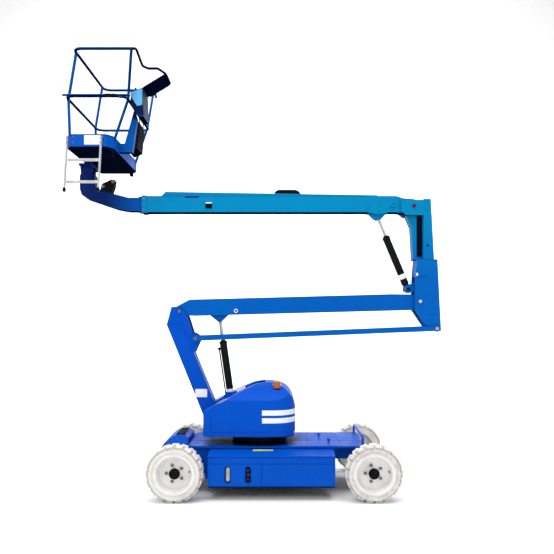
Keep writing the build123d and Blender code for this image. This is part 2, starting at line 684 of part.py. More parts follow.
# ---------------------------------------------------------------- upper boom
wall = BOOM_WALL
with BuildPart() as upper_boom:
    outline = [(UPPER_X[0], UPPER_Z[0]), (1500, UPPER_Z[0]), (1590, 3002), (1689, 2992), (1752, 3020), (1776, 3075),
               (1752, 3130), (1689, 3158), (1590, 3162), (1500, UPPER_Z[1]), (UPPER_X[0], UPPER_Z[1])]
    extrude(side(outline), amount=BOOM_HALF, both=True)
    extrude(side([(UPPER_X[0], UPPER_Z[0] + wall), (1440, UPPER_Z[0] + wall), (1440, UPPER_Z[1] - wall),
                  (UPPER_X[0], UPPER_Z[1] - wall)]), amount=BOOM_HALF - wall, both=True, mode=Mode.SUBTRACT)
    # The mouth collar with its wear pads
    mouth = [(UPPER_X[0] - 4, UPPER_Z[0] - 6), (UPPER_X[0] + 46, UPPER_Z[0] - 6), (UPPER_X[0] + 46, UPPER_Z[1] + 6),
             (UPPER_X[0] - 4, UPPER_Z[1] + 6)]
    extrude(side(mouth), amount=BOOM_HALF + 6, both=True)
    extrude(side([(UPPER_X[0] - 4, FLY_Z[0] - SLIDING), (UPPER_X[0] + 46, FLY_Z[0] - SLIDING),
                  (UPPER_X[0] + 46, FLY_Z[1] + SLIDING), (UPPER_X[0] - 4, FLY_Z[1] + SLIDING)]),
            amount=FLY_HALF + SLIDING, both=True, mode=Mode.SUBTRACT)
    # Crown bosses and pin
    with Locations(across(CROWN)):
        Cylinder(52, 2 * 84)
        Cylinder(PIN, 2 * RISER_HALF + 24)
    # The luff cylinder's ears under the box, with a slot for its eye
    with Locations((1303, 0, UPPER_Z[0])):
        Box(190, 2 * EAR_GAP, 40, mode=Mode.SUBTRACT)
    for way in (-1, 1):
        luff_bracket = [(1190, UPPER_Z[0] + 4), (1262, 2944), (1290, 2930), (1318, 2930), (1346, 2944),
                        (1410, UPPER_Z[0] + 4)]
        extrude(side(luff_bracket, way * (EAR_GAP + EAR / 2)), amount=EAR / 2, both=True)
        with Locations(across(LUFF_EYE, way * (EAR_GAP + EAR + 4))):
            Cylinder(PIN, 12)
        diamond = [(1175, UPPER_Z[0] + 2), (1303, 2985), (1430, UPPER_Z[0] + 2), (1425, 3080), (1303, 3120), (1180, 3080)]
        extrude(side(diamond, way * (BOOM_HALF + 3)), amount=4, both=True)
finish(upper_boom, "upper_boom")

tray_top = [(-1090, UPPER_Z[1]), (-1040, UPPER_Z[1] + 50), (1300, UPPER_Z[1] + 12), (1300, UPPER_Z[1])]
with BuildPart() as cable_tray:
    extrude(side(tray_top), amount=52, both=True)
finish(cable_tray, "cable_tray")

# ---------------------------------------------------------------- fly boom and platform mount
with BuildPart() as fly_boom:
    nose = [(FLY_TAIL, FLY_Z[0]), (-1450, FLY_Z[0]), (-1577, 3050), (-1743, 3106), (-1900, 3160), (-1962, 3205),
            (-1984, 3270), (-1984, 3415), (-1962, 3462), (-1905, 3488), (-1848, 3462), (-1818, 3415), (-1812, 3300),
            (-1770, 3262), (-1700, 3240), (-1450, FLY_Z[1]), (FLY_TAIL, FLY_Z[1])]
    extrude(side(nose), amount=FLY_HALF, both=True)
    extrude(side([(FLY_TAIL, FLY_Z[0] + 7), (-1380, FLY_Z[0] + 7), (-1380, FLY_Z[1] - 7), (FLY_TAIL, FLY_Z[1] - 7)]),
            amount=FLY_HALF - 7, both=True, mode=Mode.SUBTRACT)
    # Wear pads at the tail, which fill the outer box
    pad_x = (FLY_TAIL - 60, FLY_TAIL - 10)
    pad_ring = [(pad_x[0], UPPER_Z[0] + wall + SLIDING), (pad_x[1], UPPER_Z[0] + wall + SLIDING),
                (pad_x[1], UPPER_Z[1] - wall - SLIDING), (pad_x[0], UPPER_Z[1] - wall - SLIDING)]
    extrude(side(pad_ring), amount=BOOM_HALF - wall - SLIDING, both=True)
    extrude(side([(pad_x[0], FLY_Z[0] + 7), (pad_x[1], FLY_Z[0] + 7), (pad_x[1], FLY_Z[1] - 7),
                  (pad_x[0], FLY_Z[1] - 7)]), amount=FLY_HALF - 7, both=True, mode=Mode.SUBTRACT)
    with Locations(across(LEVEL)):
        Cylinder(PIN + RUNNING, 300, mode=Mode.SUBTRACT)
finish(fly_boom, "fly_boom")

with BuildPart() as level_bracket:
    for way in (-1, 1):
        ear = [(-1765, 3255), (-1640, 3215), (-1610, 3300), (-1600, 3372), (-1640, 3378), (-1745, 3330)]
        extrude(side(ear, way * 34), amount=6, both=True)
    extrude(side([(-1740, 3250), (-1650, 3222), (-1645, 3262), (-1732, 3290)]), amount=34, both=True)
    for pin_at in ((-1622, 3352), (-1728, 3300)):
        with Locations(across(pin_at)):
            Cylinder(13, 96)
finish(level_bracket, "level_bracket")

with BuildPart() as platform_mount:
    for way in (-1, 1):
        cheek = [(-1960, 3395), (-1935, 3370), (-1875, 3370), (-1850, 3395), (-1835, 3525), (-1975, 3525)]
        extrude(side(cheek, way * (FLY_HALF + 12)), amount=6, both=True)
    with Locations((LEVEL[0], 0, 3530)):
        Box(150, 220, 22)
    with Locations((SWIVEL_X, 0, 3541)):
        Cylinder(SWIVEL_RADIUS, FLOOR_LOW - SLIDING - 3541, align=(Align.CENTER, Align.CENTER, Align.MIN))
        Cylinder(19.95, FLOOR_TOP - 3541, align=(Align.CENTER, Align.CENTER, Align.MIN))
    with Locations(across(LEVEL)):
        Cylinder(PIN, 2 * (FLY_HALF + 24))
finish(platform_mount, "platform_mount")

# ---------------------------------------------------------------- work platform
floor_plan = (
    (FLOOR_X[0], -PLATFORM_HALF + FLOOR_CHAMFER),
    (FLOOR_X[0] + 60, -PLATFORM_HALF),
    (FLOOR_X[1] - 60, -PLATFORM_HALF),
    (FLOOR_X[1], -PLATFORM_HALF + FLOOR_CHAMFER),
    (FLOOR_X[1], PLATFORM_HALF - FLOOR_CHAMFER),
    (FLOOR_X[1] - 60, PLATFORM_HALF),
    (FLOOR_X[0] + 60, PLATFORM_HALF),
    (FLOOR_X[0], PLATFORM_HALF - FLOOR_CHAMFER),
)
with BuildPart() as platform_floor:
    with BuildSketch(Plane.XY.offset(FLOOR_LOW)) as floor_sketch:
        with BuildLine():
            Polyline(*floor_plan, close=True)
        make_face()
    extrude(amount=TOE_TOP - FLOOR_LOW)
    with BuildSketch(Plane.XY.offset(FLOOR_TOP)):
        with BuildLine():
            Polyline(*floor_plan, close=True)
        make_face()
        offset(amount=-TOE_WALL, kind=Kind.INTERSECTION)
    extrude(amount=200, mode=Mode.SUBTRACT)
    with Locations((SWIVEL_X, 0, FLOOR_LOW)):
        Cylinder(20, 100, mode=Mode.SUBTRACT)
    for y in (-450, 450):
        with Locations((-1530, y, 3524)):
            Cylinder(22, 70, align=(Align.CENTER, Align.CENTER, Align.MIN))
finish(platform_floor, "platform_floor")

rail_y = PLATFORM_HALF - RAIL
post_y = PLATFORM_HALF - POST_INSET
left_x = (-1950, -1966, -1886)
right_x = (-1505, -1349, -1273)
post_levels = (TOE_TOP - 60, MID_RAIL, TOP_RAIL)


def guard_z(share):
    """A height at the given share of the way up from the mid rail to the top rail."""
    return MID_RAIL + share * (TOP_RAIL - MID_RAIL)


def bar(start, end):
    """Add a straight rail with twelve flats between two points in space to the part being built."""
    direction = Vector(*end) - Vector(*start)
    with BuildSketch(Plane(origin=start, z_dir=direction), mode=Mode.PRIVATE) as section:
        RegularPolygon(radius=RAIL, side_count=12)
    extrude(section.sketch, amount=direction.length)


with BuildPart() as guard_rails:
    # The mid rail runs all round, in two halves
    middle_x = (left_x[1] + right_x[1]) / 2
    for end_x in (left_x[1], right_x[1]):
        bent_tube([(middle_x, -rail_y, MID_RAIL), (end_x, -rail_y, MID_RAIL), (end_x, rail_y, MID_RAIL),
                   (middle_x, rail_y, MID_RAIL)], RAIL, 80)
    # The top rail is open at the console's end, where the console's guard takes over
    bent_tube([(right_x[2], -rail_y, TOP_RAIL), (left_x[2], -rail_y, TOP_RAIL), (left_x[2], rail_y, TOP_RAIL),
               (right_x[2], rail_y, TOP_RAIL), (right_x[2] + 8, rail_y, TOP_RAIL - 90)], RAIL, 80)
    for way in (-1, 1):
        for x_low, x_mid in (left_x[:2], right_x[:2]):
            bar((x_low, way * post_y, post_levels[0]), (x_mid, way * post_y, post_levels[1]))
            # Socket plates welded inside the toe boards
            with Locations((x_low, way * post_y, post_levels[0] + 20)):
                Box(38, 50, 60)
        bar((left_x[1], way * post_y, MID_RAIL), (left_x[2], way * post_y, TOP_RAIL))
        bar((right_x[1], way * post_y, MID_RAIL), (right_x[2] - 20, way * rail_y, TOP_RAIL))
    # The drop bar's pivot boss and the saddle that its free end rests on
    with Locations(across(BAR_PIVOT, -rail_y - 9.5)):
        Cylinder(16, 19)
    with Locations(across(BAR_PIVOT, -rail_y - 16)):
        Cylinder(8 + RUNNING, 24, mode=Mode.SUBTRACT)
    with Locations((-1400, -rail_y - 22, MID_RAIL - 17.5)):
        Box(26, 40, 12)
finish(guard_rails, "guard_rails")

# The bent tube and its sloping shroud, which stand out over the console from the end of the top rail
guard_near = CONSOLE_Y - CONSOLE_HALF
guard_far = CONSOLE_Y + CONSOLE_HALF
shroud_low = (-1209, guard_z(0.285))
shroud_high = (-968, guard_z(0.59))
with BuildPart() as console_guard:
    bent_tube([(right_x[2], -rail_y, TOP_RAIL), (-1245, -rail_y, TOP_RAIL), (-1205, guard_near - 20, guard_z(0.73)),
               (-1150, guard_near, guard_z(0.69)), (-1050, guard_near, guard_z(0.69)),
               (shroud_high[0], guard_near, shroud_high[1] - 6), (shroud_high[0], guard_far, shroud_high[1] - 6),
               (shroud_low[0] + 20, guard_far, shroud_low[1] + 7)], 13, 26)
    shroud = [shroud_low, shroud_high, (shroud_high[0] + 2, shroud_high[1] - 6), (shroud_low[0] + 2, shroud_low[1] - 6)]
    extrude(side(shroud, CONSOLE_Y), amount=CONSOLE_HALF, both=True)
finish(console_guard, "console_guard")

with BuildPart() as control_console:
    # The housing bears on the mid rail and carries the shroud
    rail_face = right_x[1] + RAIL * cos(radians(15))
    housing = [(rail_face, MID_RAIL - 46), (rail_face, MID_RAIL + 97), (shroud_low[0], shroud_low[1]),
               (shroud_low[0] + 2, shroud_low[1] - 6), (-1200, MID_RAIL - 161), (-1262, MID_RAIL - 161)]
    extrude(side(housing, CONSOLE_Y), amount=CONSOLE_HALF - 8, both=True)
    # The stem that holds it up from the end of the floor
    stem = [(FLOOR_X[1], FLOOR_LOW + 10), (-1340, FLOOR_LOW + 10), (-1290, MID_RAIL - 150), (-1320, MID_RAIL - 60),
            (-1420, TOE_TOP - 20), (FLOOR_X[1], TOE_TOP - 20)]
    extrude(side(stem, CONSOLE_Y), amount=32, both=True)
finish(control_console, "control_console")

with BuildPart() as mesh_pocket:
    bag = [(-1440, MID_RAIL - 430), (-1345, MID_RAIL - 390), (-1322, MID_RAIL - 110), (-1352, MID_RAIL - 90),
           (-1440, MID_RAIL - 330)]
    extrude(side(bag, 60), amount=130, both=True)
    # It hangs from the mid rail by two straps
    for y in (-40, 160):
        extrude(side([(-1334.5, MID_RAIL + 6), (-1329.5, MID_RAIL + 6), (-1325, MID_RAIL - 108),
                      (-1332, MID_RAIL - 104)], y), amount=12, both=True)
finish(mesh_pocket, "mesh_pocket")

# ---------------------------------------------------------------- entry ladder and drop bar
ladder_y = -PLATFORM_HALF - 15
with BuildPart() as entry_ladder:
    # The stiles lean outwards towards the foot
    for x in (-1936, -1591):
        stile = [(x - 7, TOE_TOP - 20), (x + 7, TOE_TOP - 20), (x - 25, FLOOR_LOW - 458), (x - 39, FLOOR_LOW - 458)]
        extrude(side(stile, ladder_y), amount=15, both=True)
    for z, shift in ((FLOOR_LOW - 362, -25), (FLOOR_LOW - 140, -12)):
        with Locations((-1763.5 + shift, ladder_y, z)):
            Box(340, 28, 24)
finish(entry_ladder, "entry_ladder")

with BuildPart() as entry_bar:
    with BuildSketch(Plane(origin=(-1985, BAR_Y, MID_RAIL), z_dir=(1, 0, 0))):
        Circle(11)
    extrude(amount=685)
    with Locations(across(BAR_PIVOT, BAR_Y + 13)):
        Cylinder(8, 24)
finish(entry_bar, "entry_bar")
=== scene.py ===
"""The articulating boom lift's looks: finishes for its parts, the fittings too small for the frame, and the studio."""

import json
import math
import random

import bmesh
import bpy
from mathutils import Matrix, Vector


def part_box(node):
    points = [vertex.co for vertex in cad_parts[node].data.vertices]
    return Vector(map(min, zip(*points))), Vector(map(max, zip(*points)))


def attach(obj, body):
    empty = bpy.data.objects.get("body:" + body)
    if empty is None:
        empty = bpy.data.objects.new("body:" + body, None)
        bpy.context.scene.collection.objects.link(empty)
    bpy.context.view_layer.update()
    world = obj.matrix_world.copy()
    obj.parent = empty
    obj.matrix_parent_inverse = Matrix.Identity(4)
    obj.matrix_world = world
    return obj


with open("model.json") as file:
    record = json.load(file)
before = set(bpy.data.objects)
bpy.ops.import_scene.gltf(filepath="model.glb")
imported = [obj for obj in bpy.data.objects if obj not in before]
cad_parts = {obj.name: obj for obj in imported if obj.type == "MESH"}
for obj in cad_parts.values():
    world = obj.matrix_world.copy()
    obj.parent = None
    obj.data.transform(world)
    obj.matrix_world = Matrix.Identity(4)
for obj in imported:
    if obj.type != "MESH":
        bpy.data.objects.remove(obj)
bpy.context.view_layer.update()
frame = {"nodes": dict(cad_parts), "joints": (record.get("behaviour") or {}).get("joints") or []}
random.seed(7)

# ---------------------------------------------------------------- directions and levels, in metres
NEAR, FAR = -1.0, 1.0
# name, sign of Y, direction outward
SIDES = (("near", NEAR, Vector((0, NEAR, 0))), ("far", FAR, Vector((0, FAR, 0))))
TOP = Vector((0, 0, 1))
ACROSS = Vector((0, 1, 0))
NEARWARD = (0, -1, 0)
# Local Y up and local Z across, for outlines drawn in the side view
SIDEWAYS = Matrix(((1, 0, 0, 0), (0, 0, 1, 0), (0, 1, 0, 0), (0, 0, 0, 1)))
JOINTS = {joint["name"]: joint for joint in frame["joints"]}


def joint_at(name):
    """A joint's place at rest."""
    return Vector(JOINTS[name]["pos_m"])


# Places that several fittings share: heights along Z, and sides as distances from the middle plane
DRIVE_AXLE, STEER_AXLE = joint_at("wheel_drive_near_spin"), joint_at("wheel_steer_near_spin")
LID_EDGE = 0.373
SLOT_Z = 0.262
HOOD_SIDE = 0.450
POST_SIDE = 0.100
BOOM_SIDE = 0.0725
RISER_SIDE = 0.1105
FLOOR_TOP = 3.606
TOE_TOP = 3.710
MID_RAIL, TOP_RAIL = 4.106, 4.590
PLATFORM_SIDE = 0.600
LADDER_Y = -0.615
LADDER_X = (-1.936, -1.591)


# ---------------------------------------------------------------- finishes
# How much the enamel mirrors, low so that flat faces keep their colour at a glance
SHINE = 0.05


def srgb(red, green, blue):
    """A linear colour from 0-255 screen values."""
    return tuple(((v / 255 + 0.055) / 1.055) ** 2.4 if v > 10 else v / 255 / 12.92 for v in (red, green, blue)) + (1.0,)


class Finish:
    """A node material under construction, with the few patterns that all finishes share."""

    def __init__(self, name, color, rough, metallic=0.0, coat=0.0):
        self.material = bpy.data.materials.new(name)
        self.material.use_nodes = True
        self.tree = self.material.node_tree
        self.shader = self.tree.nodes["Principled BSDF"]
        self.set("Metallic", metallic)
        self.set("Coat Weight", coat)
        self.set("Coat Roughness", 0.12)
        self.place = self.node("ShaderNodeTexCoord").outputs["Object"]
        self.color = self.value(color)
        self.rough = self.number(rough)
        self.height = None

    def set(self, name, amount):
        """Sets one of the shader's own values."""
        self.shader.inputs[name].default_value = amount

    def node(self, kind, **values):
        """A new node with its settings."""
        made = self.tree.nodes.new(kind)
        for key, value in values.items():
            setattr(made, key, value)
        return made

    def link(self, source, target):
        """Joins a socket to another."""
        self.tree.links.new(source, target)

    def value(self, color):
        """A colour as a socket."""
        made = self.node("ShaderNodeRGB")
        made.outputs[0].default_value = color
        return made.outputs[0]

    def number(self, amount):
        """A number as a socket."""
        made = self.node("ShaderNodeValue")
        made.outputs[0].default_value = amount
        return made.outputs[0]

    def math(self, operation, first, second=None, clamp=False):
        """The result of a sum on sockets or plain numbers."""
        made = self.node("ShaderNodeMath", operation=operation, use_clamp=clamp)
        for slot, source in enumerate((first, second)):
            if source is None:
                continue
            if isinstance(source, (int, float)):
                made.inputs[slot].default_value = source
            else:
                self.link(source, made.inputs[slot])
        return made.outputs[0]

    def noise(self, scale, detail=3.0, stretch=(1, 1, 1), low=0.35, high=0.65):
        """A grain from 0 to 1, sharpened between two levels."""
        mapping = self.node("ShaderNodeMapping")
        mapping.inputs["Scale"].default_value = stretch
        self.link(self.place, mapping.inputs["Vector"])
        grain = self.node("ShaderNodeTexNoise")
        grain.inputs["Scale"].default_value = scale
        grain.inputs["Detail"].default_value = detail
        self.link(mapping.outputs[0], grain.inputs["Vector"])
        return self.ramp(grain.outputs["Fac"], low, high)

    def ramp(self, source, low, high):
        """A mask that runs from 0 at one level to 1 at the other."""
        made = self.node("ShaderNodeMapRange", clamp=True)
        self.link(source, made.inputs["Value"])
        made.inputs["From Min"].default_value = low
        made.inputs["From Max"].default_value = high
        return made.outputs[0]

    def axis(self, letter):
        """One coordinate of the place on the surface."""
        split = self.node("ShaderNodeSeparateXYZ")
        self.link(self.place, split.inputs[0])
        return split.outputs[letter]

    def spread(self, first, second, at=(0.0, 0.0)):
        """The distance from a line that runs along the third axis."""
        squares = [self.math("POWER", self.math("ABSOLUTE", self.math("SUBTRACT", self.axis(letter), middle)), 2.0)
                   for letter, middle in zip((first, second), at)]
        return self.math("SQRT", self.math("ADD", *squares))

    def below(self, start=0.1, end=-0.5):
        """A mask that is bright where the surface looks down."""
        split = self.node("ShaderNodeSeparateXYZ")
        self.link(self.node("ShaderNodeTexCoord").outputs["Normal"], split.inputs[0])
        return self.ramp(split.outputs["Z"], start, end)

    def shade_below(self, color, start, end, amount=1.0):
        """Paints shade on the surfaces that look down: a darker colour and less shine."""
        mask = self.below(start, end)
        self.tint(mask, color, amount)
        shine = self.math("SUBTRACT", SHINE, self.math("MULTIPLY", mask, SHINE))
        self.link(shine, self.shader.inputs["Specular IOR Level"])

    def edges(self, radius=0.006):
        """A mask that is bright along the edges of a solid."""
        bevel = self.node("ShaderNodeBevel", samples=4)
        bevel.inputs["Radius"].default_value = radius
        true = self.node("ShaderNodeNewGeometry")
        dot = self.node("ShaderNodeVectorMath", operation="DOT_PRODUCT")
        self.link(bevel.outputs[0], dot.inputs[0])
        self.link(true.outputs["Normal"], dot.inputs[1])
        return self.ramp(dot.outputs["Value"], 0.96, 0.80)

    def tint(self, mask, color, amount=1.0):
        """Mixes a colour in where the mask is bright."""
        mix = self.node("ShaderNodeMix", data_type="RGBA")
        self.link(self.math("MULTIPLY", mask, amount, clamp=True), mix.inputs[0])
        self.link(self.color, mix.inputs[6])
        mix.inputs[7].default_value = color
        self.color = mix.outputs[2]

    def roughen(self, mask, amount):
        """Dulls the surface where the mask is bright."""
        self.rough = self.math("ADD", self.rough, self.math("MULTIPLY", mask, amount), clamp=True)

    def raise_by(self, mask, amount):
        """Adds relief of the given height in metres."""
        lift = self.math("MULTIPLY", mask, amount)
        self.height = lift if self.height is None else self.math("ADD", self.height, lift)

    def done(self, round_edges=0.003):
        """Joins everything to the shader and hands the material over."""
        self.link(self.color, self.shader.inputs["Base Color"])
        self.link(self.rough, self.shader.inputs["Roughness"])
        normal = None
        if round_edges:
            bevel = self.node("ShaderNodeBevel", samples=4)
            bevel.inputs["Radius"].default_value = round_edges
            normal = bevel.outputs[0]
        if self.height is not None:
            bump = self.node("ShaderNodeBump")
            bump.inputs["Distance"].default_value = 1.0
            self.link(self.height, bump.inputs["Height"])
            if normal is not None:
                self.link(normal, bump.inputs["Normal"])
            normal = bump.outputs[0]
        if normal is not None:
            self.link(normal, self.shader.inputs["Normal"])
        return self.material


# The colour of the painted shade on undersides
SHADE_NAVY = srgb(3, 8, 24)


def paint(name, color, dark, rough=0.40, dust_top=0.0, wear=0.3):
    """Sprayed enamel: faint orange peel, cloudy fading, chipped edges and a film of dust low down."""
    finish = Finish(name, color, rough)
    finish.set("Specular IOR Level", SHINE)
    finish.tint(finish.noise(1.3, 4.0, low=0.42, high=0.68), dark, 0.30)
    finish.tint(finish.noise(9.0, 6.0, stretch=(1, 1, 0.35), low=0.56, high=0.74), dark, 0.18)
    chips = finish.math("MULTIPLY", finish.edges(0.004), finish.noise(38.0, 6.0, low=0.52, high=0.60))
    finish.tint(chips, srgb(40, 126, 205), wear)
    scuffs = finish.noise(14.0, 8.0, stretch=(1, 1, 3.5), low=0.67, high=0.73)
    finish.tint(scuffs, srgb(20, 112, 205), 0.12)
    finish.roughen(scuffs, 0.15)
    if dust_top:
        low = finish.ramp(finish.axis("Z"), dust_top, dust_top * 0.2)
        dust = finish.math("MULTIPLY", low, finish.noise(22.0, 8.0, low=0.42, high=0.64))
        finish.tint(dust, srgb(30, 92, 160), 0.20)
        finish.roughen(low, 0.12)
    finish.roughen(finish.noise(5.0, 5.0), 0.10)
    finish.raise_by(finish.noise(260.0, 1.0, low=0.2, high=0.8), 0.00010)
    return finish


def enamel(name, color, dark, axis_ramp=None, below=(-0.3, -0.8), under=SHADE_NAVY, round_edges=0.003, **values):
    """A finished paint, with a colour ramp along one axis (axis, from, to, colour, amount) and painted shade on the
    undersides where they are given.
    """
    finish = paint(name, color, dark, **values)
    if axis_ramp:
        letter, start, end, tone, amount = axis_ramp
        finish.tint(finish.ramp(finish.axis(letter), start, end), tone, amount)
    if below:
        finish.shade_below(under, *below)
    return finish.done(round_edges)


def rubber_white(name, axle):
    """White non-marking rubber, darker at the floor of its tread grooves with dirt and painted shade, and dirty where
    it meets the ground.
    """
    finish = Finish(name, srgb(234, 232, 228), 0.75)
    finish.set("Specular IOR Level", 0.2)
    finish.tint(finish.noise(7.0, 6.0, low=0.48, high=0.70), srgb(190, 186, 178), 0.45)
    out = finish.spread("X", "Z", (axle.x, axle.z))
    # Dirt and painted shade on the floor of the tread grooves
    groove_dirt_and_shade = finish.math("MULTIPLY", finish.ramp(out, 0.2765, 0.2715), finish.ramp(out, 0.246, 0.258))
    finish.tint(groove_dirt_and_shade, srgb(140, 128, 116), 0.60)
    grime = finish.math("MULTIPLY", finish.ramp(out, 0.240, 0.280), finish.noise(26.0, 8.0, low=0.44, high=0.60))
    finish.tint(grime, srgb(170, 162, 150), 0.45)
    finish.raise_by(finish.noise(120.0, 4.0), 0.0004)
    return finish.done(0.003)


def coated(name, color, rough, dirt_and_edge_tone, amount=0.3, metallic=0.0, grain=160.0, relief=0.00015):
    """A plain coating, plastic or cast surface with grime in patches, a weaker share of the same tone along every edge,
    and a fine grain.
    """
    finish = Finish(name, color, rough, metallic)
    finish.set("Specular IOR Level", 0.06)
    finish.tint(finish.noise(7.0, 6.0, low=0.46, high=0.70), dirt_and_edge_tone, amount)
    # Every edge takes the same tone evenly: paler on the dark finishes, darker on the pale ones
    finish.tint(finish.edges(0.005), dirt_and_edge_tone, amount * 0.7)
    finish.roughen(finish.noise(11.0, 5.0), 0.14)
    finish.raise_by(finish.noise(grain, 3.0), relief)
    return finish.done()


def brushed(name, color, rough=0.22, stretch=(1, 1, 30)):
    """Bright metal with fine drawn lines."""
    finish = Finish(name, color, rough, metallic=1.0)
    lines = finish.noise(90.0, 4.0, stretch=stretch, low=0.3, high=0.7)
    finish.roughen(lines, 0.16)
    finish.tint(lines, srgb(120, 122, 125), 0.25)
    finish.raise_by(lines, 0.00004)
    return finish.done(0.0015)


def clear(name, color, rough=0.08):
    """Moulded lens plastic with fine ribs and a slight glow."""
    finish = Finish(name, color, rough, coat=0.5)
    finish.set("Transmission Weight", 0.35)
    finish.set("Emission Color", color)
    finish.set("Emission Strength", 0.05)
    ribs = finish.math("SINE", finish.math("MULTIPLY", finish.axis("Z"), 900.0))
    finish.raise_by(finish.ramp(ribs, -1.0, 1.0), 0.0008)
    finish.tint(finish.noise(30.0, 3.0), srgb(180, 70, 0), 0.25)
    return finish.done(0.002)


CHASSIS = paint("chassis_blue", srgb(0, 80, 190), srgb(0, 64, 168), dust_top=0.45)
# Painted shadow on the deck round the slew ring, where the hood's shade falls
hood_shadow_ring = CHASSIS.math("MULTIPLY", CHASSIS.ramp(CHASSIS.spread("X", "Y"), 0.47, 0.37),
                      CHASSIS.ramp(CHASSIS.axis("Z"), 0.499, 0.505))
CHASSIS.tint(hood_shadow_ring, srgb(4, 10, 30), 0.9)
# Painted shade on the chassis's undersides
CHASSIS.shade_below(SHADE_NAVY, -0.3, -0.8)
BLUE = CHASSIS.done()
# Each enamel from here on has painted shade on the surfaces that look down, unless below is None
HOOD_BLUE = enamel("hood_blue", srgb(0, 78, 190), srgb(0, 66, 170), wear=0.15)
BOOM_BLUE = enamel("boom_blue", srgb(0, 91, 180), srgb(0, 78, 164))
SKY_BLUE = enamel("upper_blue", srgb(0, 131, 182), srgb(0, 112, 170), ("Z", 2.98, 2.3, srgb(0, 90, 178), 0.95))
# The fly boom's nose darkens towards its end under the platform: painted shade
NOSE_BLUE = enamel("nose_blue", srgb(0, 84, 176), srgb(0, 72, 160), ("X", -1.28, -1.70, srgb(2, 26, 88), 0.96),
                   (-0.2, -0.8))
# The platform mount darkens below the tray: painted shade
MOUNT_BLUE = enamel("mount_blue", srgb(0, 70, 170), srgb(0, 56, 146), ("Z", 3.62, 3.52, srgb(2, 26, 84), 0.95),
                    below=None)
# Rails: painted shade on the tubes' undersides, which leaves the horizontal tubes dark and the posts blue
RAIL_BLUE = enamel("rail_blue", srgb(0, 84, 164), srgb(0, 40, 104), None, (0.0, -0.35), srgb(3, 12, 40), 0.001,
                   wear=0.1)
# The tray runs to painted shade at its bottom edge and on its undersides
TRAY_BLUE = enamel("tray_blue", srgb(0, 84, 184), srgb(0, 66, 158), ("Z", 3.589, 3.584, SHADE_NAVY, 1.0), (-0.3, -0.7))
GUARD_NAVY = enamel("guard_navy", srgb(4, 14, 44), srgb(2, 7, 24), None, (0.1, -0.3), srgb(2, 8, 28), wear=0.0)
TYRE = rubber_white("white_rubber_drive", DRIVE_AXLE)
TYRE_STEER = rubber_white("white_rubber_steer", STEER_AXLE)
RIM = coated("rim_enamel", srgb(232, 231, 228), 0.42, srgb(170, 166, 158), 0.25)
BLACK = coated("satin_black", srgb(10, 11, 14), 0.45, srgb(40, 40, 42), 0.2)
BARREL = coated("gloss_black", srgb(16, 18, 22), 0.32, srgb(48, 50, 54), 0.18, relief=0.00006)
PLASTIC = coated("moulded_black", srgb(12, 13, 17), 0.5, srgb(44, 46, 50), 0.2, grain=420.0, relief=0.0002)
CONSOLE = enamel("console_navy", srgb(4, 24, 74), srgb(2, 14, 50), ("Z", 3.965, 3.925, srgb(0, 84, 170), 1.0),
                 (-0.1, -0.5), wear=0.0)
FLOOR_GREY = coated("floor_grey", srgb(112, 124, 142), 0.45, srgb(165, 168, 172), 0.35)
NET = coated("net_grey", srgb(34, 42, 64), 0.6, srgb(16, 20, 32), 0.3)
POCKET_NAVY = enamel("pocket_navy", srgb(8, 11, 26), srgb(3, 4, 12), None, (-0.1, -0.5), srgb(2, 3, 8), wear=0.0)
WHITE = coated("plate_white", srgb(240, 241, 242), 0.45, srgb(200, 200, 196), 0.2)
CHROME = brushed("rod_chrome", srgb(214, 216, 220), 0.10)
STEEL = brushed("zinc_steel", srgb(120, 122, 128), 0.40, (8, 8, 8))
ALUMINIUM = coated("ladder_aluminium", srgb(196, 197, 200), 0.5, srgb(128, 126, 124), 0.4, metallic=0.25)
AMBER = clear("amber_lens", srgb(200, 104, 8))
GALVANISED = coated("galvanised_steel", srgb(196, 196, 192), 0.5, srgb(96, 92, 84), 0.5)
RUST = coated("rusty_steel", srgb(92, 58, 44), 0.6, srgb(28, 26, 26), 0.7)
MAROON = coated("oxide_cap", srgb(104, 16, 34), 0.5, srgb(50, 12, 30), 0.3)
RED = coated("red_plastic", srgb(188, 28, 24), 0.4, srgb(120, 20, 18), 0.2)
YELLOW = coated("yellow_film", srgb(228, 214, 90), 0.45, srgb(150, 160, 90), 0.4)
PANEL_BLUE = coated("panel_blue", srgb(96, 172, 220), 0.45, srgb(120, 186, 222), 0.3)

FINISHES = (
    # finish, the parts that carry it
    (BLUE, ("chassis_frame", "deck", "side_box_near", "side_box_far", "drive_cover", "guard_loop")),
    (HOOD_BLUE, ("hood", "turret_frame")),
    (BOOM_BLUE, ("lower_boom", "levelling_link")),
    (SKY_BLUE, ("riser", "upper_boom", "cable_tray")),
    (NOSE_BLUE, ("fly_boom",)),
    (MOUNT_BLUE, ("platform_mount",)),
    (TYRE, ("tyre_drive_near", "tyre_drive_far")),
    (TYRE_STEER, ("tyre_steer_near", "tyre_steer_far")),
    (RIM, ("rim_drive_near", "rim_drive_far", "rim_steer_near", "rim_steer_far")),
    (BLACK, ("drive_axle", "steer_axle", "steer_knuckle_near", "steer_knuckle_far", "tie_rod", "slew_ring",
             "level_bracket")),
    (BARREL, ("lift_cylinder_barrel", "luff_cylinder_barrel")),
    (CHROME, ("lift_cylinder_rod", "luff_cylinder_rod")),
    (RAIL_BLUE, ("guard_rails", "entry_bar")),
    (GUARD_NAVY, ("console_guard",)),
    (TRAY_BLUE, ("platform_floor",)),
    (CONSOLE, ("control_console",)),
    (PLASTIC, ("beacon_base",)),
    (POCKET_NAVY, ("mesh_pocket",)),
    (ALUMINIUM, ("entry_ladder",)),
    (AMBER, ("beacon_lens",)),
)
for finish, names in FINISHES:
    for name in names:
        for slot in frame["nodes"][name].material_slots:
            slot.material = finish


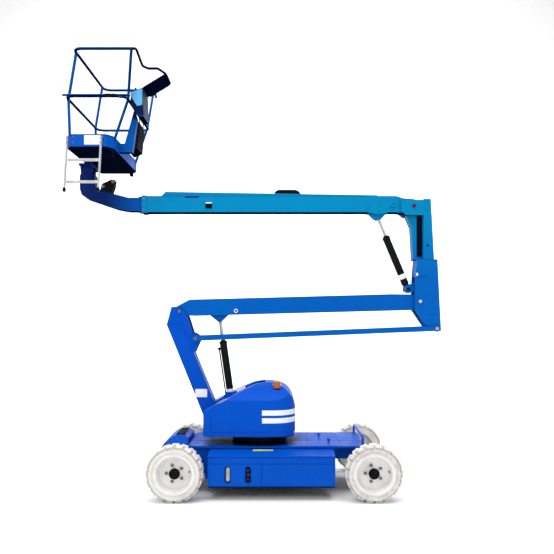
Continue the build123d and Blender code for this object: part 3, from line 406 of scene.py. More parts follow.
# ---------------------------------------------------------------- makers of small pieces
def shown(name, data):
    """A new object in the scene."""
    made = bpy.data.objects.new(name, data)
    bpy.context.scene.collection.objects.link(made)
    return made


def settle(name, mesh_maker, finish, body, bevel=0.0, smooth=True, segments=2):
    """Turns a bmesh into a named piece with a finish that rides on a body."""
    mesh = bpy.data.meshes.new(name)
    bmesh.ops.recalc_face_normals(mesh_maker, faces=mesh_maker.faces)
    mesh_maker.to_mesh(mesh)
    mesh_maker.free()
    mesh.materials.append(finish)
    piece = shown(name, mesh)
    if smooth:
        mesh.shade_smooth()
        mesh.set_sharp_from_angle(angle=math.radians(38))
    if bevel:
        rounding = piece.modifiers.new("rounding", "BEVEL")
        rounding.width = bevel
        rounding.segments = segments
        rounding.limit_method = "ANGLE"
        rounding.angle_limit = math.radians(35)
        rounding.harden_normals = False
    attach(piece, body)


def facing(axis, up=TOP):
    """The turn that points local Z along an axis."""
    axis = Vector(axis).normalized()
    if abs(axis.dot(up)) > 0.99:
        up = Vector((1, 0, 0))
    side = up.cross(axis).normalized()
    return Matrix((side, axis.cross(side), axis)).transposed().to_4x4()


def put(place, axis=TOP):
    """The matrix that stands a shape on a place, along an axis."""
    return Matrix.Translation(Vector(place)) @ facing(axis)


def circle(count):
    """Equal steps of angle round a full turn."""
    return [2 * math.pi * k / count for k in range(count)]


def add_turned(maker, profile, matrix, count):
    """A turned shape from (radius, height) points, open or ending on the axis."""
    rings = []
    for radius, height in profile:
        if radius < 1e-6:
            rings.append([maker.verts.new(matrix @ Vector((0, 0, height)))])
            continue
        rings.append([maker.verts.new(matrix @ Vector((radius * math.cos(a), radius * math.sin(a), height)))
                      for a in circle(count)])
    for low, high in zip(rings, rings[1:]):
        for k in range(count):
            nxt = (k + 1) % count
            corners = [low[k % len(low)], low[nxt % len(low)], high[nxt % len(high)], high[k % len(high)]]
            unique = list(dict.fromkeys(corners))
            if len(unique) > 2:
                maker.faces.new(unique)


def bridge(maker, first, second):
    """A band of faces between two rings of the same length."""
    for k in range(len(first)):
        nxt = (k + 1) % len(first)
        maker.faces.new((first[k], first[nxt], second[nxt], second[k]))


def add_prism(maker, outline, low, high, matrix):
    """A straight prism over an outline of (x, y) points between two heights."""
    floor = [maker.verts.new(matrix @ Vector((x, y, low))) for x, y in outline]
    roof = [maker.verts.new(matrix @ Vector((x, y, high))) for x, y in outline]
    maker.faces.new(list(reversed(floor)))
    maker.faces.new(roof)
    bridge(maker, floor, roof)


def turned(name, profile, place, axis, finish, body, count):
    """A piece that is one turned shape."""
    maker = bmesh.new()
    add_turned(maker, profile, put(place, axis), count)
    settle(name, maker, finish, body)


def slab(name, outline, low, high, matrix, finish, body, bevel=0.0, segments=2):
    """A piece that is one prism."""
    maker = bmesh.new()
    add_prism(maker, outline, low, high, matrix)
    settle(name, maker, finish, body, bevel=bevel, segments=segments)


def rounded(width, height, radius, steps=4):
    """A rectangle's outline with round corners, about its middle."""
    points = []
    for sx, sy, start in ((1, 1, 0), (-1, 1, 90), (-1, -1, 180), (1, -1, 270)):
        for k in range(steps + 1):
            a = math.radians(start + 90 * k / steps)
            points.append((sx * (width / 2 - radius) + radius * math.cos(a),
                           sy * (height / 2 - radius) + radius * math.sin(a)))
    return points


def hexagon(radius, turn):
    """A hexagon's outline, turned about its middle."""
    return [(radius * math.cos(turn + a), radius * math.sin(turn + a)) for a in circle(6)]


def bolts(name, places, axis, size, finish, body, washer=True):
    """Hexagon heads on washers, each turned a little differently."""
    maker = bmesh.new()
    for place in places:
        matrix = put(place, axis)
        if washer:
            add_turned(maker, [(0, -0.001), (size * 1.25, -0.001), (size * 1.25, size * 0.14), (size * 1.1, size * 0.2),
                               (0, size * 0.2)], matrix, 20)
        turn = random.uniform(0, math.pi / 3)
        add_prism(maker, hexagon(size, turn), size * 0.1, size * 0.75, matrix)
        add_turned(maker, [(size * 0.84, size * 0.75), (size * 0.72, size * 0.83), (0, size * 0.83)], matrix, 12)
    settle(name, maker, finish, body, bevel=size * 0.05, segments=1)


def rivets(name, places, axis, size, finish, body):
    """Low domed heads."""
    maker = bmesh.new()
    for place in places:
        add_turned(maker, [(size, -0.0005), (size * 0.92, size * 0.25), (size * 0.6, size * 0.5), (0, size * 0.6)],
                   put(place, axis), 14)
    settle(name, maker, finish, body)


def loop_bar(name, points, radius, finish, body):
    """A round bar that runs through points and closes on itself."""
    curve = bpy.data.curves.new(name, "CURVE")
    curve.dimensions = "3D"
    curve.bevel_depth = radius
    curve.bevel_resolution = 3
    spline = curve.splines.new("POLY")
    spline.points.add(len(points) - 1)
    for point, place in zip(spline.points, points):
        point.co = (*place, 1.0)
    spline.use_cyclic_u = True
    curve.materials.append(finish)
    piece = shown(name, curve)
    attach(piece, body)


def weld(name, runs, finish, body, radius):
    """Weld beads: overlapping ripples along straight runs."""
    maker = bmesh.new()
    for start, end in runs:
        start, end = Vector(start), Vector(end)
        span = end - start
        count = max(2, int(span.length / (radius * 1.3)))
        matrix = facing(span.normalized())
        rings = []
        for k in range(count + 1):
            swell = radius * (0.82 + 0.18 * abs(math.sin(k * 1.9)) + random.uniform(-0.05, 0.05))
            centre = Matrix.Translation(start + span * (k / count)) @ matrix
            rings.append([maker.verts.new(centre @ Vector((swell * math.cos(a), swell * math.sin(a), 0)))
                          for a in circle(6)])
        for low, high in zip(rings, rings[1:]):
            bridge(maker, low, high)
        maker.faces.new(list(reversed(rings[0])))
        maker.faces.new(rings[-1])
    settle(name, maker, finish, body)


def plate(name, place, axis, width, height, finish, body, thick=0.0016, corner=0.004, up=TOP, lean=0.0):
    """A thin blank plate or film that lies on a surface."""
    maker = bmesh.new()
    matrix = Matrix.Translation(Vector(place)) @ facing(axis, up) @ Matrix.Rotation(lean, 4, "Z")
    add_prism(maker, rounded(width, height, corner), -0.0006, thick, matrix)
    settle(name, maker, finish, body, bevel=0.0004, segments=1)


def block(name, place, size, finish, body):
    """A solid with rounded edges, by its middle and size."""
    maker = bmesh.new()
    half = Vector(size) / 2
    outline = [(-half.x, -half.y), (half.x, -half.y), (half.x, half.y), (-half.x, half.y)]
    add_prism(maker, outline, -half.z, half.z, Matrix.Translation(Vector(place)))
    settle(name, maker, finish, body, bevel=0.003, segments=3)


def groove(name, runs, body, width):
    """Dark panel gaps: thin strips along runs, laid on a surface with the given normal."""
    maker = bmesh.new()
    for start, end, normal in runs:
        start, end, normal = Vector(start), Vector(end), Vector(normal).normalized()
        along = (end - start).normalized()
        side = along.cross(normal).normalized() * width / 2
        lift = normal * 0.0006
        quad = [maker.verts.new(p) for p in (start - side + lift, end - side + lift, end + side + lift,
                                             start + side + lift)]
        base = [maker.verts.new(v.co - lift * 2) for v in quad]
        maker.faces.new(quad)
        maker.faces.new(list(reversed(base)))
        for k in range(4):
            nxt = (k + 1) % 4
            maker.faces.new((quad[k], base[k], base[nxt], quad[nxt]))
    settle(name, maker, BLACK, body, smooth=False)


# ---------------------------------------------------------------- wheels
WHEEL_NUTS = 5
BOLT_CIRCLE = 0.085
for name in ("drive_near", "drive_far", "steer_near", "steer_far"):
    body = f"wheel_{name}"
    low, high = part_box(f"rim_{name}")
    middle = (low + high) / 2
    way = NEAR if middle.y < 0 else FAR
    tyre_low, tyre_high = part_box(f"tyre_{name}")
    hub = Vector((middle.x, (tyre_low.y + tyre_high.y) / 2 + way * 0.060, middle.z))
    outward = Vector((0, way, 0))
    turned(f"hub_cap_{name}", [(0.055, -0.028), (0.055, -0.004), (0.052, 0.001), (0.045, 0.004), (0.043, 0.009),
                               (0.024, 0.012), (0.022, 0.017), (0, 0.019)], hub, outward, PLASTIC, body, 40)
    nut_places = [hub - Vector((BOLT_CIRCLE * math.cos(a), way * 0.036, BOLT_CIRCLE * math.sin(a)))
                  for a in circle(WHEEL_NUTS)]
    bolts(f"wheel_nuts_{name}", nut_places, outward, 0.0135, STEEL, body)
    face_y = tyre_low.y if way < 0 else tyre_high.y
    # Moulded rings on the tyre's side wall, the lip of the rim and the valve
    ribs = bmesh.new()
    wall = Vector((middle.x, face_y, middle.z))
    for radius, lift in ((0.243, 0.0022), (0.232, 0.0016), (0.222, 0.0028)):
        add_turned(ribs, [(radius - 0.004, -0.002), (radius - 0.002, lift), (radius + 0.002, lift),
                          (radius + 0.004, -0.002)], put(wall, outward), 96)
    settle(f"side_rings_{name}", ribs, TYRE, body)
    turned(f"rim_lip_{name}", [(0.186, -0.030), (0.192, -0.008), (0.200, -0.001), (0.207, -0.001), (0.210, -0.006),
                               (0.208, -0.012)], wall, outward, RIM, body, 96)
    stem = Vector((middle.x + 0.150, face_y - way * 0.045, middle.z + 0.02))
    turned(f"valve_{name}", [(0.006, -0.03), (0.006, 0.012), (0.0045, 0.014), (0.0045, 0.026), (0.003, 0.029),
                             (0, 0.029)], stem, outward, PLASTIC, body, 14)

# ---------------------------------------------------------------- chassis
for name, way, outward in SIDES:
    low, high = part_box(f"side_box_{name}")
    wall_y = low.y if way < 0 else high.y
    lid_z = high.z - 0.045
    groove(f"box_seams_{name}", [
        ((low.x + 0.01, wall_y, lid_z), (high.x - 0.01, wall_y, lid_z), outward),
        ((low.x + 0.01, wall_y, LID_EDGE), (high.x - 0.01, wall_y, LID_EDGE), outward),
        ((0.037, wall_y, 0.171), (0.037, wall_y, LID_EDGE - 0.002), outward),
    ], "chassis", 0.0035)
    for k, x in enumerate((-0.309, -0.102)):
        # A pressed rim round each hand slot, and what shows inside it
        rim = bmesh.new()
        outer, inner = rounded(0.074, 0.186, 0.036, 8), rounded(0.058, 0.170, 0.028, 8)
        matrix = put((x, wall_y, SLOT_Z), outward)
        loops = [[rim.verts.new(matrix @ Vector((px, py, z))) for px, py in shape]
                 for shape, z in ((outer, 0.0), (outer, 0.003), (inner, 0.003), (inner, -0.02))]
        for a, b in zip(loops, loops[1:]):
            bridge(rim, a, b)
        settle(f"slot_rim_{name}_{k}", rim, BLUE, "chassis")
        inside = bmesh.new()
        plated = k == 0
        if plated:
            add_prism(inside, rounded(0.040, 0.140, 0.018, 6), -0.050, -0.014,
                      put((x + 0.003, wall_y, SLOT_Z + 0.004), outward))
        for dz in (-0.058,) if plated else (-0.050, 0.0, 0.046):
            add_turned(inside, [(0.016, -0.055), (0.016, -0.02), (0.012, -0.016), (0.009, -0.010), (0, -0.010)],
                       put((x + 0.004 - 0.1 * abs(dz), wall_y, SLOT_Z + dz), outward), 18)
        settle(f"slot_fittings_{name}_{k}", inside, GALVANISED if plated else RUST, "chassis",
               bevel=0.004 if plated else 0)
    bolts(f"box_bolts_{name}", [(x, wall_y, LID_EDGE + 0.016) for x in (low.x + 0.05, -0.2, 0.24, 0.5, high.x - 0.05)],
          outward, 0.0055, BLUE, "chassis")
    # Lid latches
    for k, x in enumerate((-0.30, 0.45)):
        block(f"lid_latch_{name}_{k}", (x, wall_y + way * 0.004, lid_z - 0.004), (0.040, 0.010, 0.022), BLUE,
              "chassis")
# The film on the near box's sloping lid
plate("box_film_near", (0.045, -0.460, 0.4725), (0, -0.103, 0.995), 0.21, 0.045, YELLOW, "chassis", 0.0012,
      up=Vector((0, 1, 0.1)))

# The feet of the guard loop and the radius of its tube
LOOP_X, LOOP_Y = 1.09, 0.388
TUBE_RADIUS = 0.0125
deck_low, deck_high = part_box("deck")
groove("deck_seams", [((x, -0.40, deck_high.z), (x, 0.40, deck_high.z), TOP) for x in (-0.52, 0.44)]
       + [((deck_low.x + 0.03, y, deck_high.z), (deck_high.x - 0.05, y, deck_high.z), TOP) for y in (-0.33, 0.33)],
       "chassis", 0.003)
bolts("deck_screws", [(x, y, deck_high.z) for x in (-0.60, 0.48, 0.55, 0.83, 0.90, 1.05) for y in (-0.37, 0.37)], TOP,
      0.007, STEEL, "chassis")


def round_loop(side, a):
    """A place on the seam round a foot of the guard loop."""
    return (LOOP_X + TUBE_RADIUS * math.cos(a), side + TUBE_RADIUS * math.sin(a), deck_high.z)


weld("loop_welds", [(round_loop(side, a), round_loop(side, a + 0.8)) for side in (-LOOP_Y, LOOP_Y)
                    for a in (0.8 * k for k in range(8))], BLUE, "chassis", 0.003)

# A dark grille along the drive cover's crown, held by a screw at each end
crown = Matrix.Translation((-0.852, 0, 0.5875))
grille = bmesh.new()
add_prism(grille, rounded(0.095, 0.380, 0.012), -0.012, 0.004, crown)
for k in range(17):
    add_prism(grille, rounded(0.080, 0.010, 0.003, 2), 0.003, 0.011,
              crown @ Matrix.Translation((0, -0.176 + 0.022 * k, 0)))
settle("cover_grille", grille, BLACK, "chassis", bevel=0.001, segments=1)
bolts("cover_screws", [crown @ Vector((0, y, 0.004)) for y in (-0.183, 0.183)], TOP, 0.005, STEEL, "chassis",
      washer=False)
SLEW_CIRCLE = 0.272
bolts("slew_bolts", [(SLEW_CIRCLE * math.cos(a), SLEW_CIRCLE * math.sin(a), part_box("slew_ring")[0].z + 0.0005)
                     for a in circle(24)], TOP, 0.004, STEEL, "chassis", washer=False)

# ---------------------------------------------------------------- turret
# The hood's sloping face starts at this (x, z) and climbs at this pitch
HOOD_FOOT = (-0.575, 0.870)
HOOD_PITCH = 0.230 / 0.455
# Its flat end, and the rounded corner (x, y) between the end and a flank
HOOD_END = 0.387
CORNER = Vector((0.147, 0.210))
CORNER_RADIUS = 0.240
CORNER_STEPS = 14
# name, lower edge, upper edge
STRIPES = (("high", 0.830, 0.884), ("low", 0.749, 0.803))


def round_corner(name, low, high, way):
    """A film that runs along the hood's flank, round its rear corner and onto its end."""
    bend = [(math.sin(a), math.cos(a)) for a in (math.pi / 2 * k / CORNER_STEPS for k in range(1, CORNER_STEPS + 1))]
    path = [(0.034, HOOD_SIDE), (CORNER.x, HOOD_SIDE)]
    path += [(CORNER.x + CORNER_RADIUS * nx, CORNER.y + CORNER_RADIUS * ny) for nx, ny in bend]
    path.append((HOOD_END, 0.150))
    normals = [(0, 1), (0, 1), *bend, (1, 0)]
    sunk, lift = -0.0004, 0.0008
    maker = bmesh.new()
    rows = []
    for (x, y), (nx, ny) in zip(path, normals):
        rows.append([maker.verts.new((x + nx * out, way * (y + ny * out), z))
                     for out, z in ((sunk, low), (lift, low), (lift, high), (sunk, high))])
    for first, second in zip(rows, rows[1:]):
        bridge(maker, first, second)
    maker.faces.new(rows[0])
    maker.faces.new(list(reversed(rows[-1])))
    settle(name, maker, WHITE, "turret")


for name, way, outward in SIDES:
    side_y = way * HOOD_SIDE
    # Panel gaps of the hinged side panel, its latch and the screws along its foot
    corner = (-0.50, side_y, 0.655)
    groove(f"hood_seams_{name}", [
        (corner, (0.140, side_y, corner[2]), outward),
        (corner, (corner[0], side_y, HOOD_FOOT[1] + HOOD_PITCH * (corner[0] - HOOD_FOOT[0]) - 0.075), outward),
    ], "turret", 0.0022)
    slab(f"hood_latch_{name}", rounded(0.070, 0.024, 0.010), -0.001, 0.005, put((-0.25, side_y, 0.680), outward),
         HOOD_BLUE, "turret", bevel=0.0015)
    bolts(f"hood_bolts_{name}", [(x, side_y, 0.630) for x in (-0.54, -0.3, -0.05, 0.12)], outward, 0.0055, HOOD_BLUE,
          "turret")
    for level, low, high in STRIPES:
        round_corner(f"hood_stripe_{level}_{name}", low, high, way)

# The white tag that stands on the hood's slope
plate("hood_tag", (-0.205, -0.136, 1.078), NEARWARD, 0.105, 0.050, WHITE, "turret", 0.003, 0.005,
      lean=math.atan(HOOD_PITCH))

# The post: its welds and edges, the faces of its pins and a blank plate
POST_PINS = (
    # name, place, distance of the face from the middle plane, body
    ("foot", joint_at("lower_boom_lift"), 0.112, "lower_boom"),
    ("link", joint_at("levelling_link_swing"), 0.134, "levelling_link"),
)
for name, way, outward in SIDES:
    y = way * POST_SIDE
    weld(f"post_weld_{name}", [((-1.016, y, 1.778), (-0.860, y, 1.778)),
                               ((-0.857, y, 1.776), (-0.727, y, 1.470))], HOOD_BLUE, "turret", 0.0045)
    weld(f"post_edges_{name}", [((-0.615, y, 0.790), (-1.012, y, 1.770)),
                                ((-0.500, y, 0.925), (-0.722, y, 1.455))], HOOD_BLUE, "turret", 0.003)
    for pin, spot, out, body in POST_PINS:
        turned(f"{pin}_pin_face_{name}", [(0, 0.004), (0.016, 0.004), (0.019, 0.001), (0.0194, -0.002)],
               (spot.x, way * out, spot.z), outward, STEEL, body, 28)
POST_PLATE = Vector((-0.640, -POST_SIDE, 1.025))
plate("post_plate", POST_PLATE + Vector((0, -0.0005, 0)), NEARWARD, 0.130, 0.090, WHITE, "turret")
rivets("post_plate_rivets", [POST_PLATE + Vector((dx, -0.002, dz)) for dx in (-0.057, 0.057)
                             for dz in (-0.038, 0.038)], NEARWARD, 0.0025, STEEL, "turret")

# The beacon's lens ribs and its dome
lens_low, lens_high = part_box("beacon_lens")
centre = (lens_low + lens_high) / 2
ribs = bmesh.new()
for low, count, radius in ((0.006, 4, 0.046), (0.046, 2, 0.038)):
    for k in range(count):
        z = lens_low.z + low + 0.009 * k
        add_turned(ribs, [(radius - 0.002, z - 0.003), (radius + 0.0009, z), (radius - 0.002, z + 0.003)],
                   Matrix.Translation((centre.x, centre.y, 0)), 40)
settle("beacon_ribs", ribs, AMBER, "turret")
dome = bmesh.new()
add_turned(dome, [(0.038, -0.001), (0.036, 0.004), (0.028, 0.009), (0.014, 0.012), (0, 0.013)],
           Matrix.Translation((centre.x, centre.y, lens_high.z)), 40)
settle("beacon_dome", dome, AMBER, "turret")

# ---------------------------------------------------------------- booms, riser and cylinders
FOOT, KNEE, CROWN = joint_at("lower_boom_lift"), joint_at("riser_level"), joint_at("upper_boom_luff")
reach = KNEE - FOOT
lower_axis = reach.normalized()
lower_up = Vector((-lower_axis.z, 0, lower_axis.x))
# How far the box lies above the line of its pins at the foot, and its seams above and below its middle
BOOM_RISE = 0.036
BOOM_SEAM = 0.088
PIN_FACES = (
    # name, place, finish, body
    ("knee", KNEE, GALVANISED, "lower_boom"),
    ("crown", CROWN, MAROON, "upper_boom"),
)


def on_lower(u, v, y):
    """A place u along the line of the lower boom's pins and v above it."""
    return FOOT + lower_axis * u + lower_up * v + Vector((0, y, 0))


def rise(u):
    """How far the lower boom's box lies above the line of its pins."""
    return BOOM_RISE * (1 - u / reach.length)


for name, way, outward in SIDES:
    y = way * BOOM_SIDE
    weld(f"lower_seam_{name}", [(on_lower(start, v + rise(start), y), on_lower(end, v + rise(end), y))
                                for start, end, v in ((0.16, 0.30, -BOOM_SEAM), (0.56, 2.50, -BOOM_SEAM),
                                                      (0.13, 2.30, BOOM_SEAM))],
         BOOM_BLUE, "lower_boom", 0.0022)
    turned(f"lower_ring_{name}", [(0.014, -0.001), (0.014, 0.0014), (0.022, 0.0014), (0.022, -0.001)],
           on_lower(0.617, -0.020, y), outward, WHITE, "lower_boom", 30)
    for pin, spot, finish, body in PIN_FACES:
        turned(f"{pin}_pin_face_{name}", [(0.0196, -0.002), (0.0192, 0.001), (0.016, 0.004), (0, 0.004)],
               (spot.x, way * 0.122, spot.z), outward, finish, body, 30)

# The upper boom: slot, stop, label, bracket bolts, wear boss, seams and the bolts of its mouth
STOP_X = -0.560
for name, way, outward in SIDES:
    y = way * BOOM_SIDE
    # The slot is drawn as a dark plate: painted shade for the opening
    slab(f"boom_slot_{name}", rounded(0.150, 0.012, 0.005), -0.001, 0.003, put((-0.745, y, 3.178), outward),
         POCKET_NAVY, "upper_boom")
    block(f"boom_stop_{name}", (STOP_X, y + way * 0.004, 3.078), (0.070, 0.012, 0.050), POCKET_NAVY, "upper_boom")
    plate(f"boom_label_{name}", (STOP_X, y, 3.112), outward, 0.066, 0.014, WHITE, "upper_boom", 0.002, 0.003)
    bracket = ((1.20, 3.06), (1.40, 3.06), (1.303, 3.09), (1.303, 3.02))
    bolts(f"bracket_bolts_{name}", [(x, way * 0.077, z) for x, z in bracket], outward, 0.009, SKY_BLUE, "upper_boom")
    turned(f"wear_boss_{name}", [(0.034, -0.001), (0.034, 0.007), (0.030, 0.010), (0.018, 0.010), (0.016, 0.006),
                                 (0, 0.006)], (1.466, y, 3.095), outward, SKY_BLUE, "upper_boom", 36)
    weld(f"upper_seam_{name}", [((-1.24, y, 3.186), (1.17, y, 3.186)), ((-1.24, y, 3.014), (1.16, y, 3.014))],
         SKY_BLUE, "upper_boom", 0.002)
    bolts(f"mouth_bolts_{name}", [(-1.273, way * 0.0785, z) for z in (3.04, 3.10, 3.16)], outward, 0.008, STEEL,
          "upper_boom")

# The dark cover over the hose pulleys on the upper boom
outline = [(0.150, 3.205), (0.172, 3.246), (0.205, 3.264), (0.395, 3.264), (0.432, 3.246), (0.460, 3.205)]
slab("pulley_cover", outline, -0.045, 0.045, SIDEWAYS, BLACK, "upper_boom", bevel=0.004)

# The wear pads above and below the fly boom in the mouth
pads = bmesh.new()
for z in (3.018, 3.182):
    add_prism(pads, rounded(0.050, 0.090, 0.004), -0.006, 0.006, Matrix.Translation((-1.312, 0, z)))
settle("mouth_pads", pads, BLACK, "upper_boom", bevel=0.001)

# The riser: welds, bolt, the shaded bottom of its tall recess, keeper, label and the face of the link's pin
riser_link = joint_at("levelling_link_swing") + reach
for name, way, outward in SIDES:
    y = way * RISER_SIDE
    weld(f"riser_step_{name}", [((1.800, y, 2.486), (1.944, y, 2.486)), ((1.725, y, 2.300), (1.84, y, 2.302))],
         SKY_BLUE, "riser", 0.004)
    weld(f"riser_marks_{name}", [((1.872, y, 2.022), (1.912, y, 2.028)), ((1.872, y, 1.885), (1.925, y, 1.885))],
         SKY_BLUE, "riser", 0.003)
    bolts(f"riser_bolt_{name}", [(1.836, way * 0.110, 2.642)], outward, 0.009, BLACK, "riser")
    plate(f"riser_shade_{name}", (1.757, way * 0.060, 2.745), outward, 0.060, 0.450, POCKET_NAVY, "riser", 0.001,
          0.004)
    slab(f"crown_keeper_{name}", rounded(0.030, 0.085, 0.006), -0.001, 0.005, put((1.815, y, 3.075), outward),
         SKY_BLUE, "riser", bevel=0.001)
    plate(f"riser_label_{name}", (1.722, way * 0.110, 2.325), outward, 0.020, 0.032, WHITE, "riser", 0.0012, 0.002)
    turned(f"riser_link_pin_{name}", [(0.0196, -0.002), (0.018, 0.003), (0.008, 0.004), (0, 0.004)],
           (riser_link.x, way * 0.134, riser_link.z), outward, GALVANISED, "levelling_link", 26)

# The cylinders: gland, white band, weld at the foot, the hard line's unions and the rod's wiper
BARRELS = (
    # name, barrel length, distance of the band from the base pin, side of the hard line or 0 for none
    ("lift", 0.797, 0.210, -1),
    ("luff", 0.630, 0.125, 0),
)
for name, length, band, side_way in BARRELS:
    base = joint_at(f"{name}_barrel_swing")
    axis = Vector(JOINTS[f"{name}_rod_stroke"]["axis"]).normalized()
    mouth = base + axis * length
    side = axis.cross(ACROSS).normalized() * side_way
    body = f"{name}_barrel"
    turned(f"{name}_gland", [(0.0400, -0.030), (0.0436, -0.028), (0.0436, -0.003), (0.0415, 0.000), (0.030, 0.001),
                             (0.028, 0.010), (0.024, 0.013), (0.0190, 0.013)], mouth, axis, BARREL, body, 48)
    turned(f"{name}_band", [(0.0400, band), (0.0406, band + 0.001), (0.0406, band + 0.054), (0.0400, band + 0.055)],
           base, axis, WHITE, body, 48)
    turned(f"{name}_foot_weld", [(0.030, 0.055), (0.0405, 0.064), (0.0412, 0.070), (0.0412, 0.080), (0.040, 0.083)],
           base, axis, BARREL, body, 48)
    if side_way:
        unions = bmesh.new()
        for height in (0.119, length - 0.076):
            add_turned(unions, [(0.011, -0.012), (0.011, 0.004), (0.0085, 0.006), (0.0085, 0.012), (0, 0.013)],
                       put(base + axis * height - side * 0.062, -side), 6)
        settle(f"{name}_unions", unions, STEEL, body)
    turned(f"{name}_wiper", [(0.0186, 0.010), (0.0200, 0.013), (0.0192, 0.017), (0.0186, 0.018)],
           mouth, axis, RED, body, 36)

# ---------------------------------------------------------------- platform
SWIVEL_X = joint_at("platform_rotate").x
tread = bmesh.new()
for column in range(13):
    for row in range(34):
        x = -1.945 + 0.0360 * column
        y = -0.560 + 0.0340 * row
        if abs(x - SWIVEL_X) < 0.03 and abs(y) < 0.03:
            continue
        turn = math.radians(45 if (column + row) % 2 else -45)
        matrix = Matrix.Translation((x, y, FLOOR_TOP)) @ Matrix.Rotation(turn, 4, "Z")
        add_prism(tread, [(-0.012, 0), (0, -0.0028), (0.012, 0), (0, 0.0028)], -0.0003, 0.0012, matrix)
settle("floor_tread", tread, FLOOR_GREY, "platform", smooth=False)
plate("toe_plate_near", (-1.687, -PLATFORM_SIDE - 0.0005, 3.655), NEARWARD, 0.165, 0.096, WHITE, "platform")
for name, way, outward in SIDES:
    bolts(f"toe_bolts_{name}", [(x, way * PLATFORM_SIDE, z) for x in (-1.88, -1.58) for z in (3.63, 3.69)],
          outward, 0.006, STEEL, "platform")
lip_points = [(-1.970, -0.51), (-1.910, -0.60), (-1.545, -0.60), (-1.485, -0.51), (-1.485, 0.51), (-1.545, 0.60),
              (-1.910, 0.60), (-1.970, 0.51)]
loop_bar("toe_lip", [(x, y, TOE_TOP) for x, y in lip_points], 0.0045, TRAY_BLUE, "platform")

# Rail joints: welds where posts meet the rails
POST_Y = 0.485
RAIL_RADIUS = 0.0145
RAIL_JOINTS = [(x, y, MID_RAIL) for x in (-1.966, -1.349) for y in (-POST_Y, POST_Y)]
RAIL_JOINTS += [(-1.886, y, TOP_RAIL) for y in (-POST_Y, POST_Y)] + [(-1.294, y, TOP_RAIL) for y in (-0.585, 0.585)]
beads = []
for x, y, z in RAIL_JOINTS:
    seam = [(x + RAIL_RADIUS * math.cos(a), y + RAIL_RADIUS * math.sin(a), z - RAIL_RADIUS) for a in circle(8)]
    beads += zip(seam, seam[1:] + seam[:1])
weld("rail_welds", beads, RAIL_BLUE, "platform", 0.0028)

# The console: panel, sticks, mushroom stop and toggles on its sloping top, and a pale panel on each side
CONSOLE_Y = -0.310
face_start, face_end = Vector((-1.3345, CONSOLE_Y, 4.203)), Vector((-1.209, CONSOLE_Y, 4.244))
face_axis = (face_end - face_start).normalized()
face_up = face_axis.cross(ACROSS).normalized()
if face_up.z < 0:
    face_up.negate()
face_mid = (face_start + face_end) / 2


def on_panel(u, v, lift=0.0):
    """A place u up the console's slope, v across it and lifted off it."""
    return face_mid + face_axis * u + Vector((0, v, 0)) + face_up * lift


PANEL_LIFT = 0.002
matrix = Matrix.Translation(on_panel(0, 0)) @ Matrix((face_axis, ACROSS, face_up)).transposed().to_4x4()
slab("console_panel", rounded(0.118, 0.245, 0.008), -0.001, 0.0025, matrix, STEEL, "platform", bevel=0.0008)
for k, v in enumerate((-0.085, 0.085)):
    turned(f"console_stick_{k}", [(0.022, 0.0), (0.020, 0.005), (0.013, 0.010), (0.014, 0.014), (0.009, 0.019),
                                  (0.006, 0.023), (0.006, 0.026), (0.010, 0.029), (0.011, 0.034), (0.008, 0.038),
                                  (0, 0.039)], on_panel(-0.010, v, PANEL_LIFT), face_up, PLASTIC, "platform", 26)
turned("console_stop", [(0.014, 0.0), (0.014, 0.008), (0.009, 0.009), (0.009, 0.014), (0.019, 0.016), (0.020, 0.022),
                        (0.016, 0.027), (0, 0.029)], on_panel(0.018, 0.0, PANEL_LIFT), face_up, RED, "platform", 30)
TOGGLES = ((0.040, -0.105), (0.040, -0.075), (0.040, -0.045), (-0.044, 0.045), (-0.044, 0.075), (-0.044, 0.105))
toggles = bmesh.new()
for k, (u, v) in enumerate(TOGGLES):
    spot = on_panel(u, v, PANEL_LIFT)
    add_turned(toggles, [(0.008, 0), (0.008, 0.003), (0.0045, 0.004), (0.0025, 0.006), (0.0032, 0.016), (0, 0.018)],
               put(spot, (face_up + face_axis * 0.25 * (-1) ** k)), 14)
settle("console_toggles", toggles, STEEL, "platform")
outline = [(-1.329, 4.150), (-1.329, 4.199), (-1.213, 4.237), (-1.212, 4.066), (-1.266, 4.053)]
for name, way, _ in SIDES:
    y = CONSOLE_Y + way * 0.132
    slab(f"console_side_{name}", outline, y - 0.0014, y + 0.0014, SIDEWAYS, PANEL_BLUE, "platform", bevel=0.0005,
         segments=1)

# The net of the tool pocket, over its outer face and its near side
STRANDS = 14
net = bmesh.new()
strand = rounded(0.0024, 0.0024, 0.0008, 1)
for k in range(STRANDS):
    start, end = Vector((-1.3440, -0.062 + 0.0188 * k, 3.722)), Vector((-1.3215, -0.062 + 0.0188 * k, 3.990))
    add_prism(net, strand, 0, (end - start).length, Matrix.Translation(start) @ facing(end - start))
for k in range(STRANDS):
    z = 3.730 + 0.0195 * k
    x = -1.3445 + 0.023 * (z - 3.716) / 0.280
    add_prism(net, strand, 0, 0.256, Matrix.Translation((x, -0.068, z)) @ facing(ACROSS))
    left = -1.438 if z < 3.776 else -1.438 + 0.088 * (z - 3.776) / 0.240
    add_prism(net, strand, 0, x - left, Matrix.Translation((left, -0.0705, z)) @ facing((1, 0, 0)))
settle("pocket_net", net, NET, "platform", smooth=False)

# The ladder: ribbed rungs, rubber feet and bolts on its leaning stiles
LADDER_TOP = 3.690
LADDER_LEAN = 0.032 / 0.560
LADDER_FOOT = 3.146


def stile(x, z):
    """A stile's middle at a height, from its place at the top."""
    return x - LADDER_LEAN * (LADDER_TOP - z)


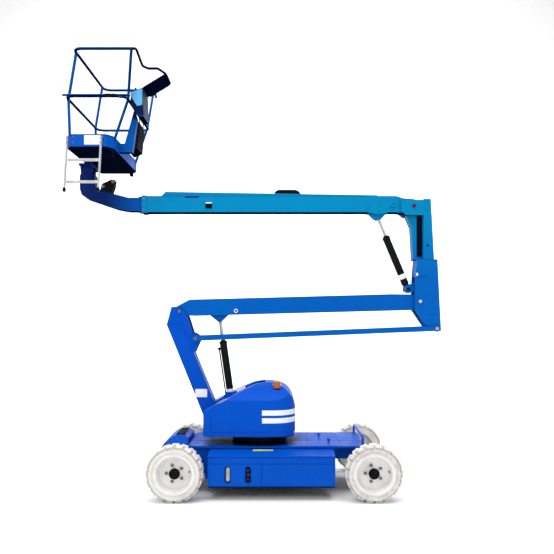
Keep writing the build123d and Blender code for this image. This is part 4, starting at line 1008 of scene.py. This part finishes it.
ribs = bmesh.new()
for middle, z in ((-1.7885, 3.226), (-1.7755, 3.448)):
    for k in range(21):
        add_prism(ribs, rounded(0.004, 0.024, 0.001, 1), 0.0100, 0.0130,
                  Matrix.Translation((middle - 0.150 + 0.015 * k, LADDER_Y, z)))
settle("rung_ribs", ribs, ALUMINIUM, "platform", smooth=False)
for k, x in enumerate(LADDER_X):
    block(f"ladder_foot_{k}", (stile(x, LADDER_FOOT), LADDER_Y, LADDER_FOOT), (0.023, 0.034, 0.040), BLACK, "platform")
bolts("ladder_bolts", [(stile(x, z), LADDER_Y - 0.015, z) for x in LADDER_X for z in (3.62, 3.67)], NEARWARD, 0.006,
      STEEL, "platform")

# The faces of the level bracket's pins, and the grip on the entry bar
level = bmesh.new()
for x, z in ((-1.622, 3.352), (-1.728, 3.300)):
    for way in (NEAR, FAR):
        add_turned(level, [(0.017, -0.002), (0.017, 0.003), (0.010, 0.005), (0, 0.005)],
                   put((x, way * 0.048, z), (0, way, 0)), 22)
settle("level_pin_faces", level, STEEL, "fly_boom")
bar = joint_at("entry_bar_lift")
turned("bar_grip", [(0.0112, 0), (0.0135, 0.003), (0.0135, 0.117), (0.0112, 0.120)], bar + Vector((0.3, 0, 0)),
       (1, 0, 0), PLASTIC, "entry_bar", 22)


# ---------------------------------------------------------------- studio
def area_light(name, place, aim, size, power, color=(1, 1, 1)):
    """A broad lamp that looks at a point."""
    light = bpy.data.lights.new(name, "AREA")
    light.shape = "RECTANGLE"
    light.size, light.size_y = size
    light.energy = power
    light.color = color
    lamp = shown(name, light)
    lamp.location = place
    lamp.rotation_mode = "QUATERNION"
    lamp.rotation_quaternion = (Vector(aim) - Vector(place)).to_track_quat("-Z", "Y")


def studio():
    """A pale floor that curves up into a backdrop, broad soft lights and a light grey surround."""
    maker = bmesh.new()
    front, start, bend, height = -30, 14, 6, 30
    profile = [(front, 0), (start, 0)]
    profile += [(start + bend * math.sin(a), bend - bend * math.cos(a))
                for a in (math.pi / 20 * k for k in range(1, 11))]
    profile += [(start + bend, height)]
    rows = [[maker.verts.new((x, y, z - 0.0005)) for x in (-40, 40)] for y, z in profile]
    for low, high in zip(rows, rows[1:]):
        maker.faces.new((low[0], low[1], high[1], high[0]))
    mesh = bpy.data.meshes.new("floor")
    bmesh.ops.recalc_face_normals(maker, faces=maker.faces)
    maker.to_mesh(mesh)
    maker.free()
    mesh.shade_smooth()
    pale = Finish("pale_floor", srgb(252, 252, 252), 0.8)
    pale.tint(pale.noise(0.6, 5.0), srgb(249, 249, 250), 0.5)
    mesh.materials.append(pale.done(0))
    floor = shown("floor", mesh)
    world = bpy.data.worlds.new("surround")
    world.use_nodes = True
    surround = world.node_tree.nodes["Background"]
    surround.inputs["Color"].default_value = (1, 1, 1, 1)
    surround.inputs["Strength"].default_value = 0.35
    bpy.context.scene.world = world
    area_light("key", (-5.5, -8.5, 8.0), (0, 0, 2.2), (5, 5), 420)
    area_light("fill", (7.0, -8.5, 4.5), (0, 0, 2.2), (5, 4), 160, (0.94, 0.97, 1))
    area_light("top", (0, -0.5, 11.0), (0, 0, 0), (12, 9), 1500)
    area_light("backdrop", (0, 6.0, 9.0), (0, 20, 4), (22, 4), 3200)


studio()

# ---------------------------------------------------------------- camera
EYE = Vector((0.19, -7.0, 1.825))
# The picture's side, its middle row, the horizon's row and the lens, all in pixels
SIDE, MIDDLE, HORIZON, FOCAL = 554, 277, 320, 630
SENSOR = 36
camera = bpy.data.cameras.new("camera")
camera.sensor_width = SENSOR
camera.lens = FOCAL / SIDE * SENSOR
view = shown("camera", camera)
camera.shift_y = (HORIZON - MIDDLE) / SIDE
view.location = EYE
view.rotation_euler = (math.pi / 2, 0, 0)
bpy.context.scene.camera = view
bpy.context.scene.view_settings.view_transform = "Standard"
